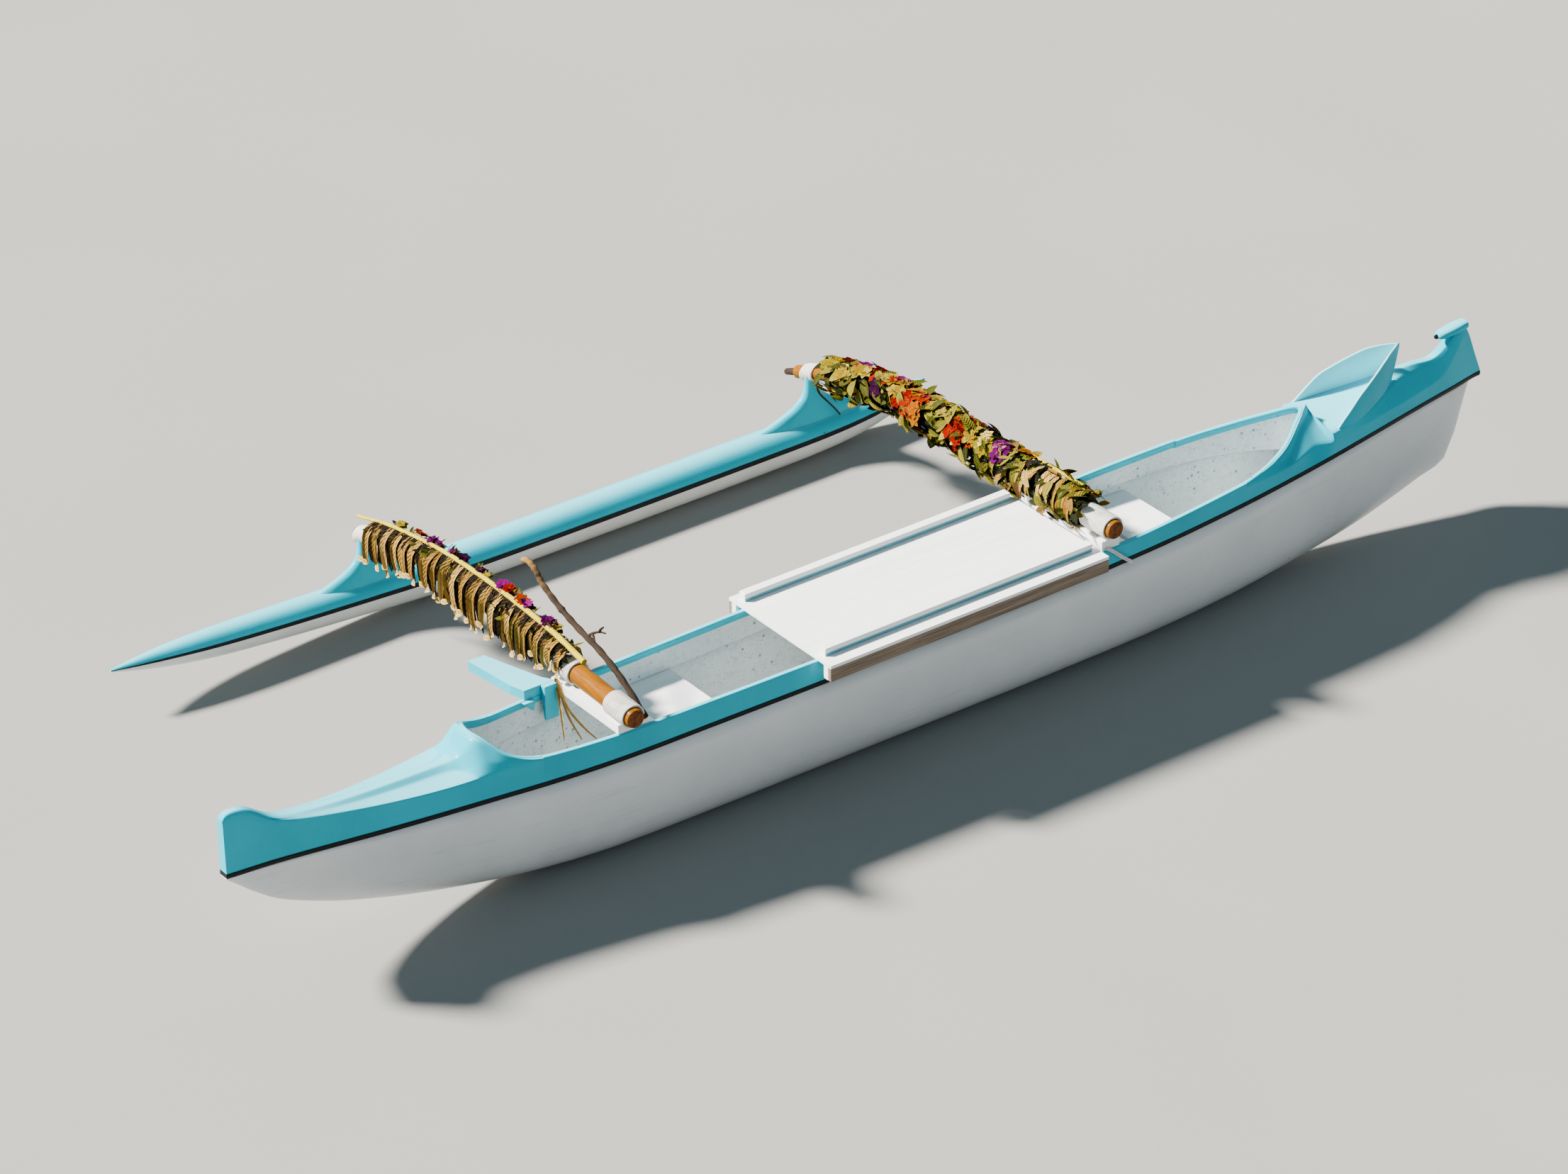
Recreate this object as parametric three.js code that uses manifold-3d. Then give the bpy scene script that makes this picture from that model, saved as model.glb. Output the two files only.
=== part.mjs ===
// Outrigger canoe for two to four paddlers, with its float to port, a serving board amidships,
// palm leaves and flowers on the booms. Millimetres, +X to the bow, +Y to port, +Z up.
// The canoe is drawn upright in the hull frame, keel strip at z = 0, and heeled at the end
// until keel and float both rest on level ground.
import * as THREE from 'three';
import { mergeVertices } from 'three/addons/utils/BufferGeometryUtils.js';
import Module from 'manifold-3d';

const wasm = await Module();
wasm.setup();

// Driving dimensions
const GAP = 0.3;                 // clearance between pieces that touch
const WALL = 12;                 // hull laminate
const KEEL_HALF = 15;            // half width of the flat keel strip
const STRIPE_HALF = 10;          // half height of the black seam strip
const STRIPE_PROUD = 3;
const LINER = 6;                 // inner wall panel
const LINER_DROP = 26;           // liner's lower edge below the seam
const RIM_INNER_LEG = 35;        // turquoise part of the inner wall
const RIM_WIDTH = 24;
const COCKPIT_AFT_X = -2150;
const COCKPIT_FORE_X = 2000;
const GUNWALE_AFT_X = -1950;
const GUNWALE_FORE_X = 1500;

// Booms: place, turn that carries the float end forward in degrees, distance out to the float end
const BOOMS = { aft: { x: -1578, skew: 2.4, end: 1790 }, fore: { x: 758, skew: 0, end: 1835 } };
const BOOM_Z = 705;
const BOOM_R = 41;

const FLOAT_Y = 1740;
const FLOAT_Z = 265;
const FLOAT_R = 91;
const FLOAT_SEAM_DEG = 7;        // lower edge of the stripe above the float's equator
const FLOAT_STRIPE = 19;

const BOARD = { end: 695, half: 336, bottom: 610 + GAP, thick: 14, lip: 18, lipDrop: 58, block: 46 };
const RAIL = { end: 668, width: 42, height: 34, nearY: -245, farY: 285 };
const SEAT_TOP_Z = 480;
const SEAT_THICK = 22;
const SEATS = [['seat_aft', -1330, -1060], ['seat_fore', 1010, 1255]];

// Hull sections: x, keel z, half width at the seam, fullness (2 is an ellipse)
const HULL = [
  [-3252, 497, 22, 1.5],
  [-3215, 466, 26, 1.5],
  [-3150, 410, 30, 1.6],
  [-3030, 323, 40, 1.7],
  [-2800, 222, 72, 1.8],
  [-2600, 158, 105, 2.0],
  [-2380, 104, 139, 2.2],
  [-2150, 60, 172, 2.3],
  [-1900, 27, 208, 2.4],
  [-1600, 7, 236, 2.5],
  [-1200, 0, 248, 2.5],
  [-600, 0, 261, 2.5],
  [0, 0, 273, 2.5],
  [500, 0, 282, 2.5],
  [1000, 0, 275, 2.5],
  [1300, 5, 259, 2.5],
  [1600, 16, 234, 2.4],
  [1950, 40, 190, 2.2],
  [2270, 76, 138, 2.0],
  [2520, 130, 94, 1.8],
  [2660, 170, 70, 1.7],
  [2800, 214, 47, 1.6],
  [2852, 320, 38, 1.6],
  [2890, 450, 30, 1.6],
  [2915, 543, 24, 1.6],
  [2985, 553, 16, 1.6],
];
// Seam height: x, z
const SEAM = [[-3252, 513], [-2600, 502], [-1200, 508], [0, 515], [1000, 536], [2000, 558], [2990, 568]];
// Gunwale rim height: x, z
const RIM = [[-2000, 624], [-1900, 617], [-1700, 612], [-1100, 610], [-700, 610], [820, 610], [1100, 620], [1500, 638]];
// Decks: x, edge half, edge z, ridge foot half, ridge foot z, crest half, crest z
const STERN_DECK = [
  [-3252, 20, 764, 17, 773, 12, 778],
  [-3170, 26, 756, 23, 770, 15, 776],
  [-3124, 28, 736, 25, 748, 15, 754],
  [-3070, 31, 698, 26, 706, 15, 710],
  [-3017, 36, 671, 28, 678, 15, 681],
  [-2900, 50, 648, 30, 654, 14, 659],
  [-2760, 66, 628, 34, 635, 14, 646],
  [-2600, 92, 612, 38, 620, 14, 637],
  [-2400, 124, 602, 42, 611, 14, 632],
  [-2270, 142, 602, 46, 611, 16, 632],
  [-2225, 147, 604, 96, 618, 40, 650],
  [-2195, 151, 605, 116, 642, 62, 700],
  [-2172, 156, 607, 130, 652, 72, 733],
  [-2140, 164, 609, 146, 650, 100, 712],
  [-2100, 175, 611, 168, 640, 158, 668],
  [-2000, 196, 613, 195, 619, 190, 627],
  [-1950, 203, 612, 202, 616, 199, 620],
];
const BOW_DECK = [
  [1500, 240, 612, 237, 624, 229, 638],
  [1600, 228, 613, 223, 628, 215, 645],
  [1700, 215, 614, 205, 634, 190, 658],
  [1800, 203, 615, 168, 640, 149, 677],
  [1900, 190, 616, 102, 650, 85, 707],
  [1960, 182, 617, 62, 655, 45, 724],
  [2014, 174, 618, 24, 660, 8, 737],
  [2032, 172, 618, 160, 660, 8, 662],
  [2100, 160, 619, 150, 661, 8, 664],
  [2200, 147, 620, 132, 667, 8, 670],
  [2300, 130, 622, 106, 681, 8, 684],
  [2400, 112, 625, 72, 698, 8, 702],
  [2450, 104, 627, 52, 716, 8, 722],
  [2500, 97, 629, 40, 718, 8, 735],
  [2600, 79, 632, 34, 702, 8, 741],
  [2690, 63, 636, 28, 690, 8, 721],
  [2745, 54, 652, 26, 702, 10, 735],
  [2795, 46, 694, 26, 748, 14, 777],
  [2850, 34, 764, 24, 802, 16, 818],
  [2893, 24, 806, 20, 830, 12, 839],
  [2940, 21, 684, 17, 697, 10, 703],
  [2985, 16, 582, 13, 588, 8, 592],
];
// Cockpit outline inside the coaming: x, half width
const COCKPIT = [
  [-2158, 0], [-2152, 40], [-2127, 86], [-2086, 143], [-1990, 174], [-1900, 190],
  [1500, 212], [1600, 198], [1700, 172], [1800, 131], [1900, 68], [1985, 0],
];
// Float: x, centre rise, radius
const FLOAT = [
  [-2718, 98, 5], [-2600, 88, 27], [-2450, 76, 47], [-2243, 60, 63], [-1935, 41, 72], [-1600, 24, 78],
  [-1250, 10, 87], [-900, 1, FLOAT_R], [600, 1, FLOAT_R], [850, 4, 86], [1050, 14, 73], [1200, 31, 53],
  [1300, 49, 31], [1362, 66, 5],
];
// Boom axis seen from the stern: y, z, radius
const BOOM = [
  [-300, BOOM_Z, 38], [-292, BOOM_Z, BOOM_R], [400, BOOM_Z, BOOM_R], [1000, 703, 40],
  [1300, 676, 37], [1550, 622, 33], [1700, 577, 31], [1790, 543, 30], [1835, 525, 29],
];
const PEG = { y0: 1835, y1: 1925, radius: 17 };  // thin dark tip of the fore boom

// Straight interpolation in a table whose first column rises
function at(table, column, x) {
  const last = table.length - 1;
  if (x <= table[0][0]) return table[0][column];
  if (x >= table[last][0]) return table[last][column];
  const i = table.findIndex((row) => row[0] > x) - 1;
  const [a, b] = [table[i], table[i + 1]];
  return a[column] + (b[column] - a[column]) * (x - a[0]) / (b[0] - a[0]);
}

// Smooth interpolation: a cubic through the table's rows
function smoothAt(table, column, x) {
  const last = table.length - 1;
  const i = Math.min(Math.max(table.findIndex((row) => row[0] > x) - 1, 0), last - 1);
  if (x >= table[last][0]) return table[last][column];
  const [p, a, b, q] = [Math.max(i - 1, 0), i, i + 1, Math.min(i + 2, last)].map((k) => table[k]);
  const span = b[0] - a[0];
  const t = (x - a[0]) / span;
  const slope = (u, v) => (v[column] - u[column]) / (v[0] - u[0]) * span;
  const m0 = slope(p, b);
  const m1 = slope(a, q);
  return a[column] * (1 + 2 * t) * (1 - t) ** 2 + m0 * t * (1 - t) ** 2
    + b[column] * t * t * (3 - 2 * t) + m1 * t * t * (t - 1);
}

const seamZ = (x) => smoothAt(SEAM, 1, x);
const rimZ = (x) => smoothAt(RIM, 1, x);
const seamHalf = (x) => smoothAt(HULL, 2, x);
const rimHalf = (x) => seamHalf(x) - 4;

// Solid from closed rings with equal point counts, each ring in a plane across x, y or z
function loft(rings) {
  const n = rings[0].length;
  const points = rings.flat();
  const index = [];
  for (let r = 0; r < rings.length - 1; r++) {
    for (let k = 0; k < n; k++) {
      const [a, b] = [r * n + k, r * n + (k + 1) % n];
      index.push(a, b, a + n, b, b + n, a + n);
    }
  }
  const end = (rings.length - 1) * n;
  const caps = [[rings[0], 0, true], [rings.at(-1), end, false]];
  for (const [ring, offset, flip] of caps) {
    for (const [a, b, c] of capTriangles(ring)) {
      const face = [offset + a, offset + b, offset + c];
      index.push(...(flip ? face.reverse() : face));
    }
  }
  return outward(points, index);
}

// Triangles over a flat ring, all turned the way the ring runs
function capTriangles(ring) {
  const extent = [0, 1, 2].map((k) => Math.max(...ring.map((p) => p[k])) - Math.min(...ring.map((p) => p[k])));
  const flat = extent.indexOf(Math.min(...extent));
  const [u, v] = [0, 1, 2].filter((k) => k !== flat);
  const contour = ring.map((p) => new THREE.Vector2(p[u], p[v]));
  const turn = Math.sign(THREE.ShapeUtils.area(contour));
  return THREE.ShapeUtils.triangulateShape(contour, []).map((face) => {
    const [a, b, c] = face.map((i) => contour[i]);
    const sense = Math.sign((b.x - a.x) * (c.y - a.y) - (b.y - a.y) * (c.x - a.x));
    return sense === turn ? face : [...face].reverse();
  });
}

// Indexed geometry with its faces turned outward
function outward(points, index) {
  let volume = 0;
  for (let i = 0; i < index.length; i += 3) {
    const [a, b, c] = [0, 1, 2].map((k) => new THREE.Vector3(...points[index[i + k]]));
    volume += a.dot(b.cross(c));
  }
  if (volume < 0) index.reverse();
  const geometry = new THREE.BufferGeometry();
  geometry.setAttribute('position', new THREE.Float32BufferAttribute(points.flat(), 3));
  geometry.setIndex(index);
  return geometry;
}

function toSolid(geometry) {
  const bare = geometry.clone();
  bare.deleteAttribute('normal');
  bare.deleteAttribute('uv');
  const merged = mergeVertices(bare, 1e-4);
  return new wasm.Manifold(new wasm.Mesh({
    numProp: 3,
    vertProperties: Float32Array.from(merged.attributes.position.array),
    triVerts: Uint32Array.from(merged.index.array),
  }));
}

function toGeometry(solid) {
  const mesh = solid.getMesh();
  const geometry = new THREE.BufferGeometry();
  geometry.setAttribute('position', new THREE.BufferAttribute(mesh.vertProperties, 3));
  geometry.setIndex(new THREE.BufferAttribute(mesh.triVerts, 1));
  return geometry;
}

function box(x0, x1, y0, y1, z0, z1) {
  const geometry = new THREE.BoxGeometry(x1 - x0, y1 - y0, z1 - z0);
  return geometry.translate((x0 + x1) / 2, (y0 + y1) / 2, (z0 + z1) / 2);
}

const range = (from, to, steps) => Array.from({ length: steps + 1 }, (_, i) => from + (to - from) * i / steps);
const circle = (sides) => range(0, sides - 1, sides - 1).map((i) => {
  const t = 2 * Math.PI * i / sides;
  return [Math.cos(t), Math.sin(t)];
});
const mirrorRing = (ring) => ring.map(([x, y, z]) => [x, -y, z]);

// Hull section ring: a superellipse with a flat keel strip, closed across at its top
const HULL_ARC_STEPS = 9;
const CAVITY_RISE = 60;
function hullRing(x, inset, rise) {
  const keel = smoothAt(HULL, 1, x) + inset;
  const half = seamHalf(x) - inset;
  const power = 2 / at(HULL, 3, x);
  const seam = seamZ(x) - STRIPE_HALF - GAP;
  const port = rise > 0 ? [[x, half, seam + rise]] : [];
  for (let i = 0; i <= HULL_ARC_STEPS; i++) {
    const angle = Math.PI / 2 * i / HULL_ARC_STEPS;
    const y = KEEL_HALF + (half - KEEL_HALF) * Math.cos(angle) ** power;
    const z = seam - (seam - keel) * Math.sin(angle) ** power;
    port.push([x, i === HULL_ARC_STEPS ? KEEL_HALF : y, z]);
  }
  return [...port, ...mirrorRing(port).reverse()];
}

// Every lengthwise piece of the hull is sampled at the same stations, so that neighbours keep their gap
const STATIONS = [...new Set([
  ...HULL, ...STERN_DECK, ...BOW_DECK, ...RIM, [-2700], [-2490], [-1750], [-1400], [-1050], [-300], [250],
].map((row) => row[0]))].sort((a, b) => a - b);
const stationsIn = (x0, x1) => [x0, ...STATIONS.filter((x) => x > x0 && x < x1), x1];

// Highest point of the faceted rim between two stations
function rimTop(x0, x1) {
  const chords = STATIONS.map((x) => [x, rimZ(x)]);
  return Math.max(...stationsIn(x0, x1).map((x) => at(chords, 1, x)));
}

// The hull is moulded in three lengths, butted under the seats' inner edges
const HULL_PARTS = [['aft', -3252, -1050], ['middle', -1050, 1000], ['fore', 1000, 2985]];
function hullShell(x0, x1) {
  const outer = loft(stationsIn(x0, x1 - GAP).map((x) => hullRing(x, 0, 0)));
  return toGeometry(toSolid(outer).subtract(cockpitCavity(WALL)));
}

function cockpitCavity(inset) {
  return toSolid(loft(stationsIn(COCKPIT_AFT_X, COCKPIT_FORE_X).map((x) => hullRing(x, inset, CAVITY_RISE))));
}

// Strip along one side from a section given as [inset from the seam's half width, z] points
function sideStrip(stations, section, side) {
  return loft(stations.map((x) => section(x).map(([inset, z]) => [x, side * (seamHalf(x) - inset), z])));
}

function seamStripe(side) {
  const section = (x) => {
    const z = seamZ(x);
    const low = z - STRIPE_HALF;
    const high = z + STRIPE_HALF;
    return [[-STRIPE_PROUD, low], [-STRIPE_PROUD, high], [WALL, high], [WALL, low]];
  };
  return sideStrip(STATIONS, section, side);
}

function gunwale(side) {
  const section = (x) => {
    const foot = seamZ(x) + STRIPE_HALF + GAP;
    const top = rimZ(x);
    const inner = WALL + GAP;
    return [
      [0, foot], [4, top - 6], [7, top], [4 + RIM_WIDTH - 3, top], [4 + RIM_WIDTH, top - 6],
      [inner + LINER, top - RIM_INNER_LEG], [inner, top - RIM_INNER_LEG], [inner, foot],
    ];
  };
  return sideStrip(stationsIn(GUNWALE_AFT_X + GAP, GUNWALE_FORE_X - GAP), section, side);
}

function liner(side) {
  const section = (x) => {
    const top = rimZ(x) - RIM_INNER_LEG - GAP;
    const outer = WALL + 1;
    const foot = seamZ(x) - LINER_DROP;
    return [[outer, foot], [outer, top], [outer + LINER, top], [outer + LINER, foot]];
  };
  return sideStrip(stationsIn(GUNWALE_AFT_X + GAP, GUNWALE_FORE_X - GAP), section, side);
}

// Deck section: seam foot, side, edge, ridge foot, crest; the lower step clears the seam strip
function deckRing(table, x) {
  const [edge, edgeZ, foot, footZ, crest, crestZ] = [1, 2, 3, 4, 5, 6].map((column) => at(table, column, x));
  const seam = seamZ(x);
  const half = seamHalf(x);
  const step = half - WALL - GAP;
  const port = [
    [x, step, seam - STRIPE_HALF + GAP], [x, step, seam + STRIPE_HALF + GAP], [x, half, seam + STRIPE_HALF + GAP],
    [x, edge, edgeZ], [x, foot, footZ], [x, crest, crestZ],
  ];
  return [...port, ...mirrorRing(port).reverse()];
}

// Vertical prism with the cockpit's outline
function cockpitPrism() {
  const shape = new THREE.Shape();
  shape.moveTo(COCKPIT[0][0], COCKPIT[0][1]);
  COCKPIT.slice(1).forEach(([x, half]) => shape.lineTo(x, half));
  COCKPIT.slice(1, -1).reverse().forEach(([x, half]) => shape.lineTo(x, -half));
  const geometry = new THREE.ExtrudeGeometry(shape, { depth: 500, bevelEnabled: false });
  return toSolid(geometry.translate(0, 0, 400));
}

function deckSolid(table) {
  const stations = stationsIn(table[0][0], table.at(-1)[0]);
  return toSolid(loft(stations.map((x) => deckRing(table, x)))).subtract(cockpitPrism());
}

const sternDeck = () => toGeometry(deckSolid(STERN_DECK));

// V-shaped splash guard: x, half width, top height along each wing, foot to apex
const GUARD = [
  [2052, 158, 645], [2100, 150, 683], [2150, 145, 723], [2200, 136, 760], [2250, 123, 783], [2300, 108, 804],
  [2350, 91, 824], [2400, 72, 842], [2450, 48, 851], [2500, 22, 854], [2528, 3, 853],
];
const GUARD_THICK = 12;
function guardWing(side) {
  return toSolid(loft(GUARD.map(([x, half, top]) => {
    const foot = at(BOW_DECK, 4, x) - 22;
    const [inner, outer] = [side * (half - GUARD_THICK), side * half];
    return [[x, inner, foot], [x, outer, foot], [x, outer, top], [x, inner, top]];
  })));
}

// Bow cap: a beak that points aft over the deck's rise
function bowCap() {
  const ring = (x, half, low, high) => [[x, half, low], [x, half, high], [x, -half, high], [x, -half, low]];
  return toSolid(loft([ring(2729, 3, 812, 819), ring(2800, 13, 812, 829), ring(2888, 13, 800, 839)]));
}

function bowDeck() {
  return toGeometry(deckSolid(BOW_DECK).add(guardWing(1)).add(guardWing(-1)).add(bowCap()));
}

function seat(x0, x1) {
  const slab = toSolid(box(x0, x1, -400, 400, SEAT_TOP_Z - SEAT_THICK, SEAT_TOP_Z));
  return toGeometry(slab.intersect(cockpitCavity(WALL + GAP)));
}

// Round tube in the plane x = 0 through table rows y, z, radius
function boomRings(rows, sides) {
  return rows.map(([y, z, r], i) => {
    const [a, b] = [rows[Math.max(i - 1, 0)], rows[Math.min(i + 1, rows.length - 1)]];
    const pitch = Math.atan2(b[1] - a[1], b[0] - a[0]);
    return circle(sides).map(([c, s]) => [r * c, y - r * s * Math.sin(pitch), z + r * s * Math.cos(pitch)]);
  });
}

const boomZ = (y) => smoothAt(BOOM, 1, y);
const boomR = (y) => smoothAt(BOOM, 2, y);
const BOOM_STATIONS = [-300, -292, 400, 750, 1000, 1150, 1300, 1425, 1550, 1630, 1700, 1755, 1790, 1835];
const ROUND_SIDES = 16;

// Boom thickened all round by a clearance
function boomGrown(extra, end = BOOMS.fore.end) {
  const rows = BOOM_STATIONS.filter((y) => y <= end).map((y) => [y, boomZ(y), boomR(y) + extra]);
  return loft(boomRings(rows, ROUND_SIDES));
}

// A solid drawn round a boom with its axis at x = 0, put in the boom's place
const placed = (solid, boom) => solid.rotate([0, 0, -boom.skew]).translate([boom.x, 0, 0]);

// Sleeve round a boom between two clearances over its surface
function boomSleeve(y0, y1, inner, outer) {
  const slice = toSolid(box(-200, 200, y0, y1, 300, 900));
  return toSolid(boomGrown(outer)).subtract(toSolid(boomGrown(inner))).intersect(slice);
}

const LASHING_ROPE = 11;         // thickness of the wound rope over the boom
const HULL_LASHINGS = [['starboard', -285, -165], ['port', 162, 282]];
const FLOAT_LASHING = [1688, 1784];
const lashing = (y0, y1) => toGeometry(boomSleeve(y0, y1, GAP, LASHING_ROPE));

function boomPeg() {
  const { y0, y1, radius } = PEG;
  const slope = (boomZ(y0) - boomZ(y0 - 45)) / 45;
  const row = (y, r) => [y, boomZ(y0) + slope * (y - y0), r];
  return loft(boomRings([row(y0 + GAP, radius), row(y1 - 6, radius - 2), row(y1, radius - 5)], ROUND_SIDES));
}

// Plank across the gunwales under each boom
const THWART_HALF_X = 45;
const THWART_TOP = BOOM_Z - BOOM_R - LASHING_ROPE - GAP;
function thwart(x) {
  const [x0, x1] = [x - THWART_HALF_X, x + THWART_HALF_X];
  const half = rimHalf(x) - 6;
  return box(x0, x1, -half, half, rimTop(x0, x1) + GAP, THWART_TOP);
}

// Part of the float's round section between two heights, given as parts of its radius
function floatSlice(low, high, lowGap, highGap, proud = 0) {
  const steps = 10;
  const rings = FLOAT.map(([x, rise, radius]) => {
    const r = radius + proud;
    const z = FLOAT_Z + rise;
    const a0 = Math.asin(Math.max(low * radius + lowGap, -r) / r);
    const a1 = Math.asin(Math.min(high * radius + highGap, r) / r);
    const near = range(a0, a1, steps).map((t) => [x, FLOAT_Y + r * Math.cos(t), z + r * Math.sin(t)]);
    const far = range(a1, a0, steps).map((t) => [x, FLOAT_Y - r * Math.cos(t), z + r * Math.sin(t)]);
    if (low <= -1) far.pop();
    if (high >= 1) far.shift();
    return [...near, ...far];
  });
  return loft(rings);
}

const SEAM_SINE = Math.sin(THREE.MathUtils.degToRad(FLOAT_SEAM_DEG));
const STRIPE_PART = FLOAT_STRIPE / FLOAT_R;
const floatLower = () => floatSlice(-1, SEAM_SINE, 0, -GAP);
const floatStripe = () => floatSlice(SEAM_SINE, SEAM_SINE + STRIPE_PART, 0, -GAP, 2);

const floatUpper = (grow = 0) => floatSlice(SEAM_SINE + STRIPE_PART, 2, 0, 0, grow);

// Pylon bonded on the float, hollowed on top to cradle the boom's lashing: height, half length, half width
const PYLON = [
  [336, 300, 44], [356, 285, 42], [375, 225, 38], [395, 165, 35], [418, 108, 33], [440, 75, 31],
  [465, 50, 29], [500, 39, 28], [556, 36, 27],
];
function pylon(boom) {
  const x = boom.x + FLOAT_Y * Math.tan(THREE.MathUtils.degToRad(boom.skew));
  const rings = PYLON.map(([z, length, width]) => circle(20).map(([c, s]) => [x + length * c, FLOAT_Y + width * s, z]));
  const wound = placed(toSolid(boomGrown(LASHING_ROPE + GAP)), boom);
  return toGeometry(toSolid(loft(rings)).subtract(wound).subtract(toSolid(floatUpper(GAP))));
}

function boardPanel() {
  const { end, half, bottom, thick, lip, lipDrop, block } = BOARD;
  let panel = toSolid(box(-end, end, -half, half, bottom, bottom + thick));
  for (const sx of [-1, 1]) {
    for (const sy of [-1, 1]) {
      const [x0, x1] = [sx * end, sx * (end - lip)].sort((a, b) => a - b);
      const [y0, y1] = [sy * (half - lip - GAP), sy * (half - block)].sort((a, b) => a - b);
      panel = panel.add(toSolid(box(x0, x1, y0, y1, bottom - lipDrop, bottom + 1)));
    }
  }
  return toGeometry(panel);
}

function boardLip(side) {
  const { end, half, bottom, lip, lipDrop } = BOARD;
  const [y0, y1] = [side * half, side * (half - lip)].sort((a, b) => a - b);
  return box(-end, end, y0, y1, bottom - lipDrop, bottom - GAP);
}

function boardRail(y) {
  const z = BOARD.bottom + BOARD.thick + GAP;
  return box(-RAIL.end, RAIL.end, y - RAIL.width / 2, y + RAIL.width / 2, z, z + RAIL.height);
}

// Bracket for an outboard motor: a tapered plank on the port gunwale and a wedge pad inside the cockpit
const BRACKET = { inner: 200.5, restAft: -1772, z1: 655, plan: [[-1626, 200.5], [-1655, 248], [-1700, 392], [-1738, 520],
  [-1812, 520], [-1806, 459], [-1785, 268], [-1766, 200.5]] };
const PAD = { aft: -1690, fore: -1626, face: 172, foot: 505, footThick: 12 };
function bracketArm() {
  const z0 = rimTop(BRACKET.restAft, PAD.fore) + GAP;
  return loft([z0, BRACKET.z1].map((level) => BRACKET.plan.map(([x, y]) => [x, y, level])));
}

function bracketPad() {
  const { aft, fore, face, foot, footThick } = PAD;
  const back = BRACKET.inner - GAP;
  const shoulder = rimTop(aft, fore) + GAP;
  const plan = [[face, foot], [face, BRACKET.z1], [back, BRACKET.z1], [back, shoulder], [face + footThick, foot]];
  return loft([aft, fore].map((x) => plan.map(([y, z]) => [x, y, z])));
}

function roundTube(points, radius, sides, steps) {
  const curve = new THREE.CatmullRomCurve3(points.map((p) => new THREE.Vector3(...p)));
  const shape = new THREE.Shape(circle(sides).map(([c, s]) => new THREE.Vector2(radius * c, radius * s)));
  return new THREE.ExtrudeGeometry(shape, { steps, extrudePath: curve, bevelEnabled: false });
}

const POLE_X = BOOMS.aft.x + 57.5;
const POLE_R = 14;
const POLE = [[-262, 668], [-112, 764], [34, 824], [182, 858], [310, 897], [416, 946], [457, 984], [510, 1004], [548, 992]];
const pole = () => roundTube(POLE.map(([y, z]) => [POLE_X, y, z]), POLE_R, 10, 40);

// Palm frond on the aft boom: midrib heights y, z
const MIDRIB = [[62, 780], [290, 806], [644, 810], [886, 800], [1133, 777], [1518, 705], [1790, 626]];
const MIDRIB_R = 9;
const midribZ = (y) => smoothAt(MIDRIB, 1, y);
const frondMidrib = (grow = 0) => roundTube(MIDRIB.map(([y, z]) => [0, y, z]), MIDRIB_R + grow, 8, 36);

// Leaf bundle that saddles the aft boom under the midrib
const BUNDLE = { y0: 150, y1: 1660, halfX: 55, sides: 14 };
function leafBundle() {
  const rings = range(BUNDLE.y0, BUNDLE.y1, 14).map((y) => {
    const low = boomZ(y) + 8;
    const high = midribZ(y) - 4;
    const half = (high - low) / 2;
    return circle(BUNDLE.sides).map(([c, s]) => [BUNDLE.halfX * c, y, low + half + half * s]);
  });
  const wound = boomSleeve(...HULL_LASHINGS[1].slice(1), 0, LASHING_ROPE + GAP);
  const carriers = toSolid(boomGrown(GAP)).add(wound).add(toSolid(frondMidrib(GAP)));
  return toGeometry(toSolid(loft(rings)).subtract(carriers));
}

// Fringe of dry leaflets that hangs on the bundle's aft side: foot heights y, z
const FRINGE_FOOT = [[160, 690], [250, 664], [321, 636], [802, 580], [1247, 572], [1640, 476]];
const FRINGE = { rise: -14, notch: 40, thick: 14, teeth: 26 };
function leafletFringe() {
  const { rise, notch, thick, teeth } = FRINGE;
  const rings = range(FRINGE_FOOT[0][0], FRINGE_FOOT.at(-1)[0], teeth * 2).map((y, i) => {
    const [top, foot] = [midribZ(y) + rise, at(FRINGE_FOOT, 1, y) + (i % 2) * notch];
    return [[0, y, top], [thick, y, top], [thick, y, foot], [0, y, foot]];
  });
  return loft(rings).translate(-BUNDLE.halfX - GAP - thick, 0, 0);
}

// Green leaves and flowers wound round the fore boom, flat where they lie on its thwart
const LEAF_WRAP = { y0: -120, y1: 1600, thick: 35 };
function leafWrap() {
  const { y0, y1, thick } = LEAF_WRAP;
  const halfX = THWART_HALF_X + 3;
  const plank = box(-halfX, halfX, y0 - 1, rimHalf(BOOMS.fore.x), 500, THWART_TOP + 0.8);
  return toGeometry(boomSleeve(y0, y1, LASHING_ROPE + GAP, thick).subtract(toSolid(plank)));
}

const root = new THREE.Group();
const hullFrame = new THREE.Group();
root.add(hullFrame);

const COLOURS = {
  underbody: [0.83, 0.83, 0.81, 0.3, 0],
  turquoise: [0.03, 0.5, 0.58, 0.25, 0],
  black: [0.02, 0.02, 0.02, 0.5, 0],
  speckled: [0.62, 0.64, 0.65, 0.6, 0],
  white: [0.88, 0.88, 0.87, 0.4, 0],
  rawWood: [0.28, 0.18, 0.12, 0.8, 0],
  varnish: [0.72, 0.36, 0.1, 0.35, 0],
  rope: [0.86, 0.84, 0.78, 0.9, 0],
  driftwood: [0.3, 0.18, 0.08, 0.8, 0],
  green: [0.3, 0.36, 0.08, 0.8, 0],
  straw: [0.6, 0.44, 0.22, 0.9, 0],
  midrib: [0.78, 0.66, 0.25, 0.6, 0],
};

function material(name) {
  const [r, g, b, roughness, metalness] = COLOURS[name];
  return new THREE.MeshStandardMaterial({ color: new THREE.Color(r, g, b), roughness, metalness });
}

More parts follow.
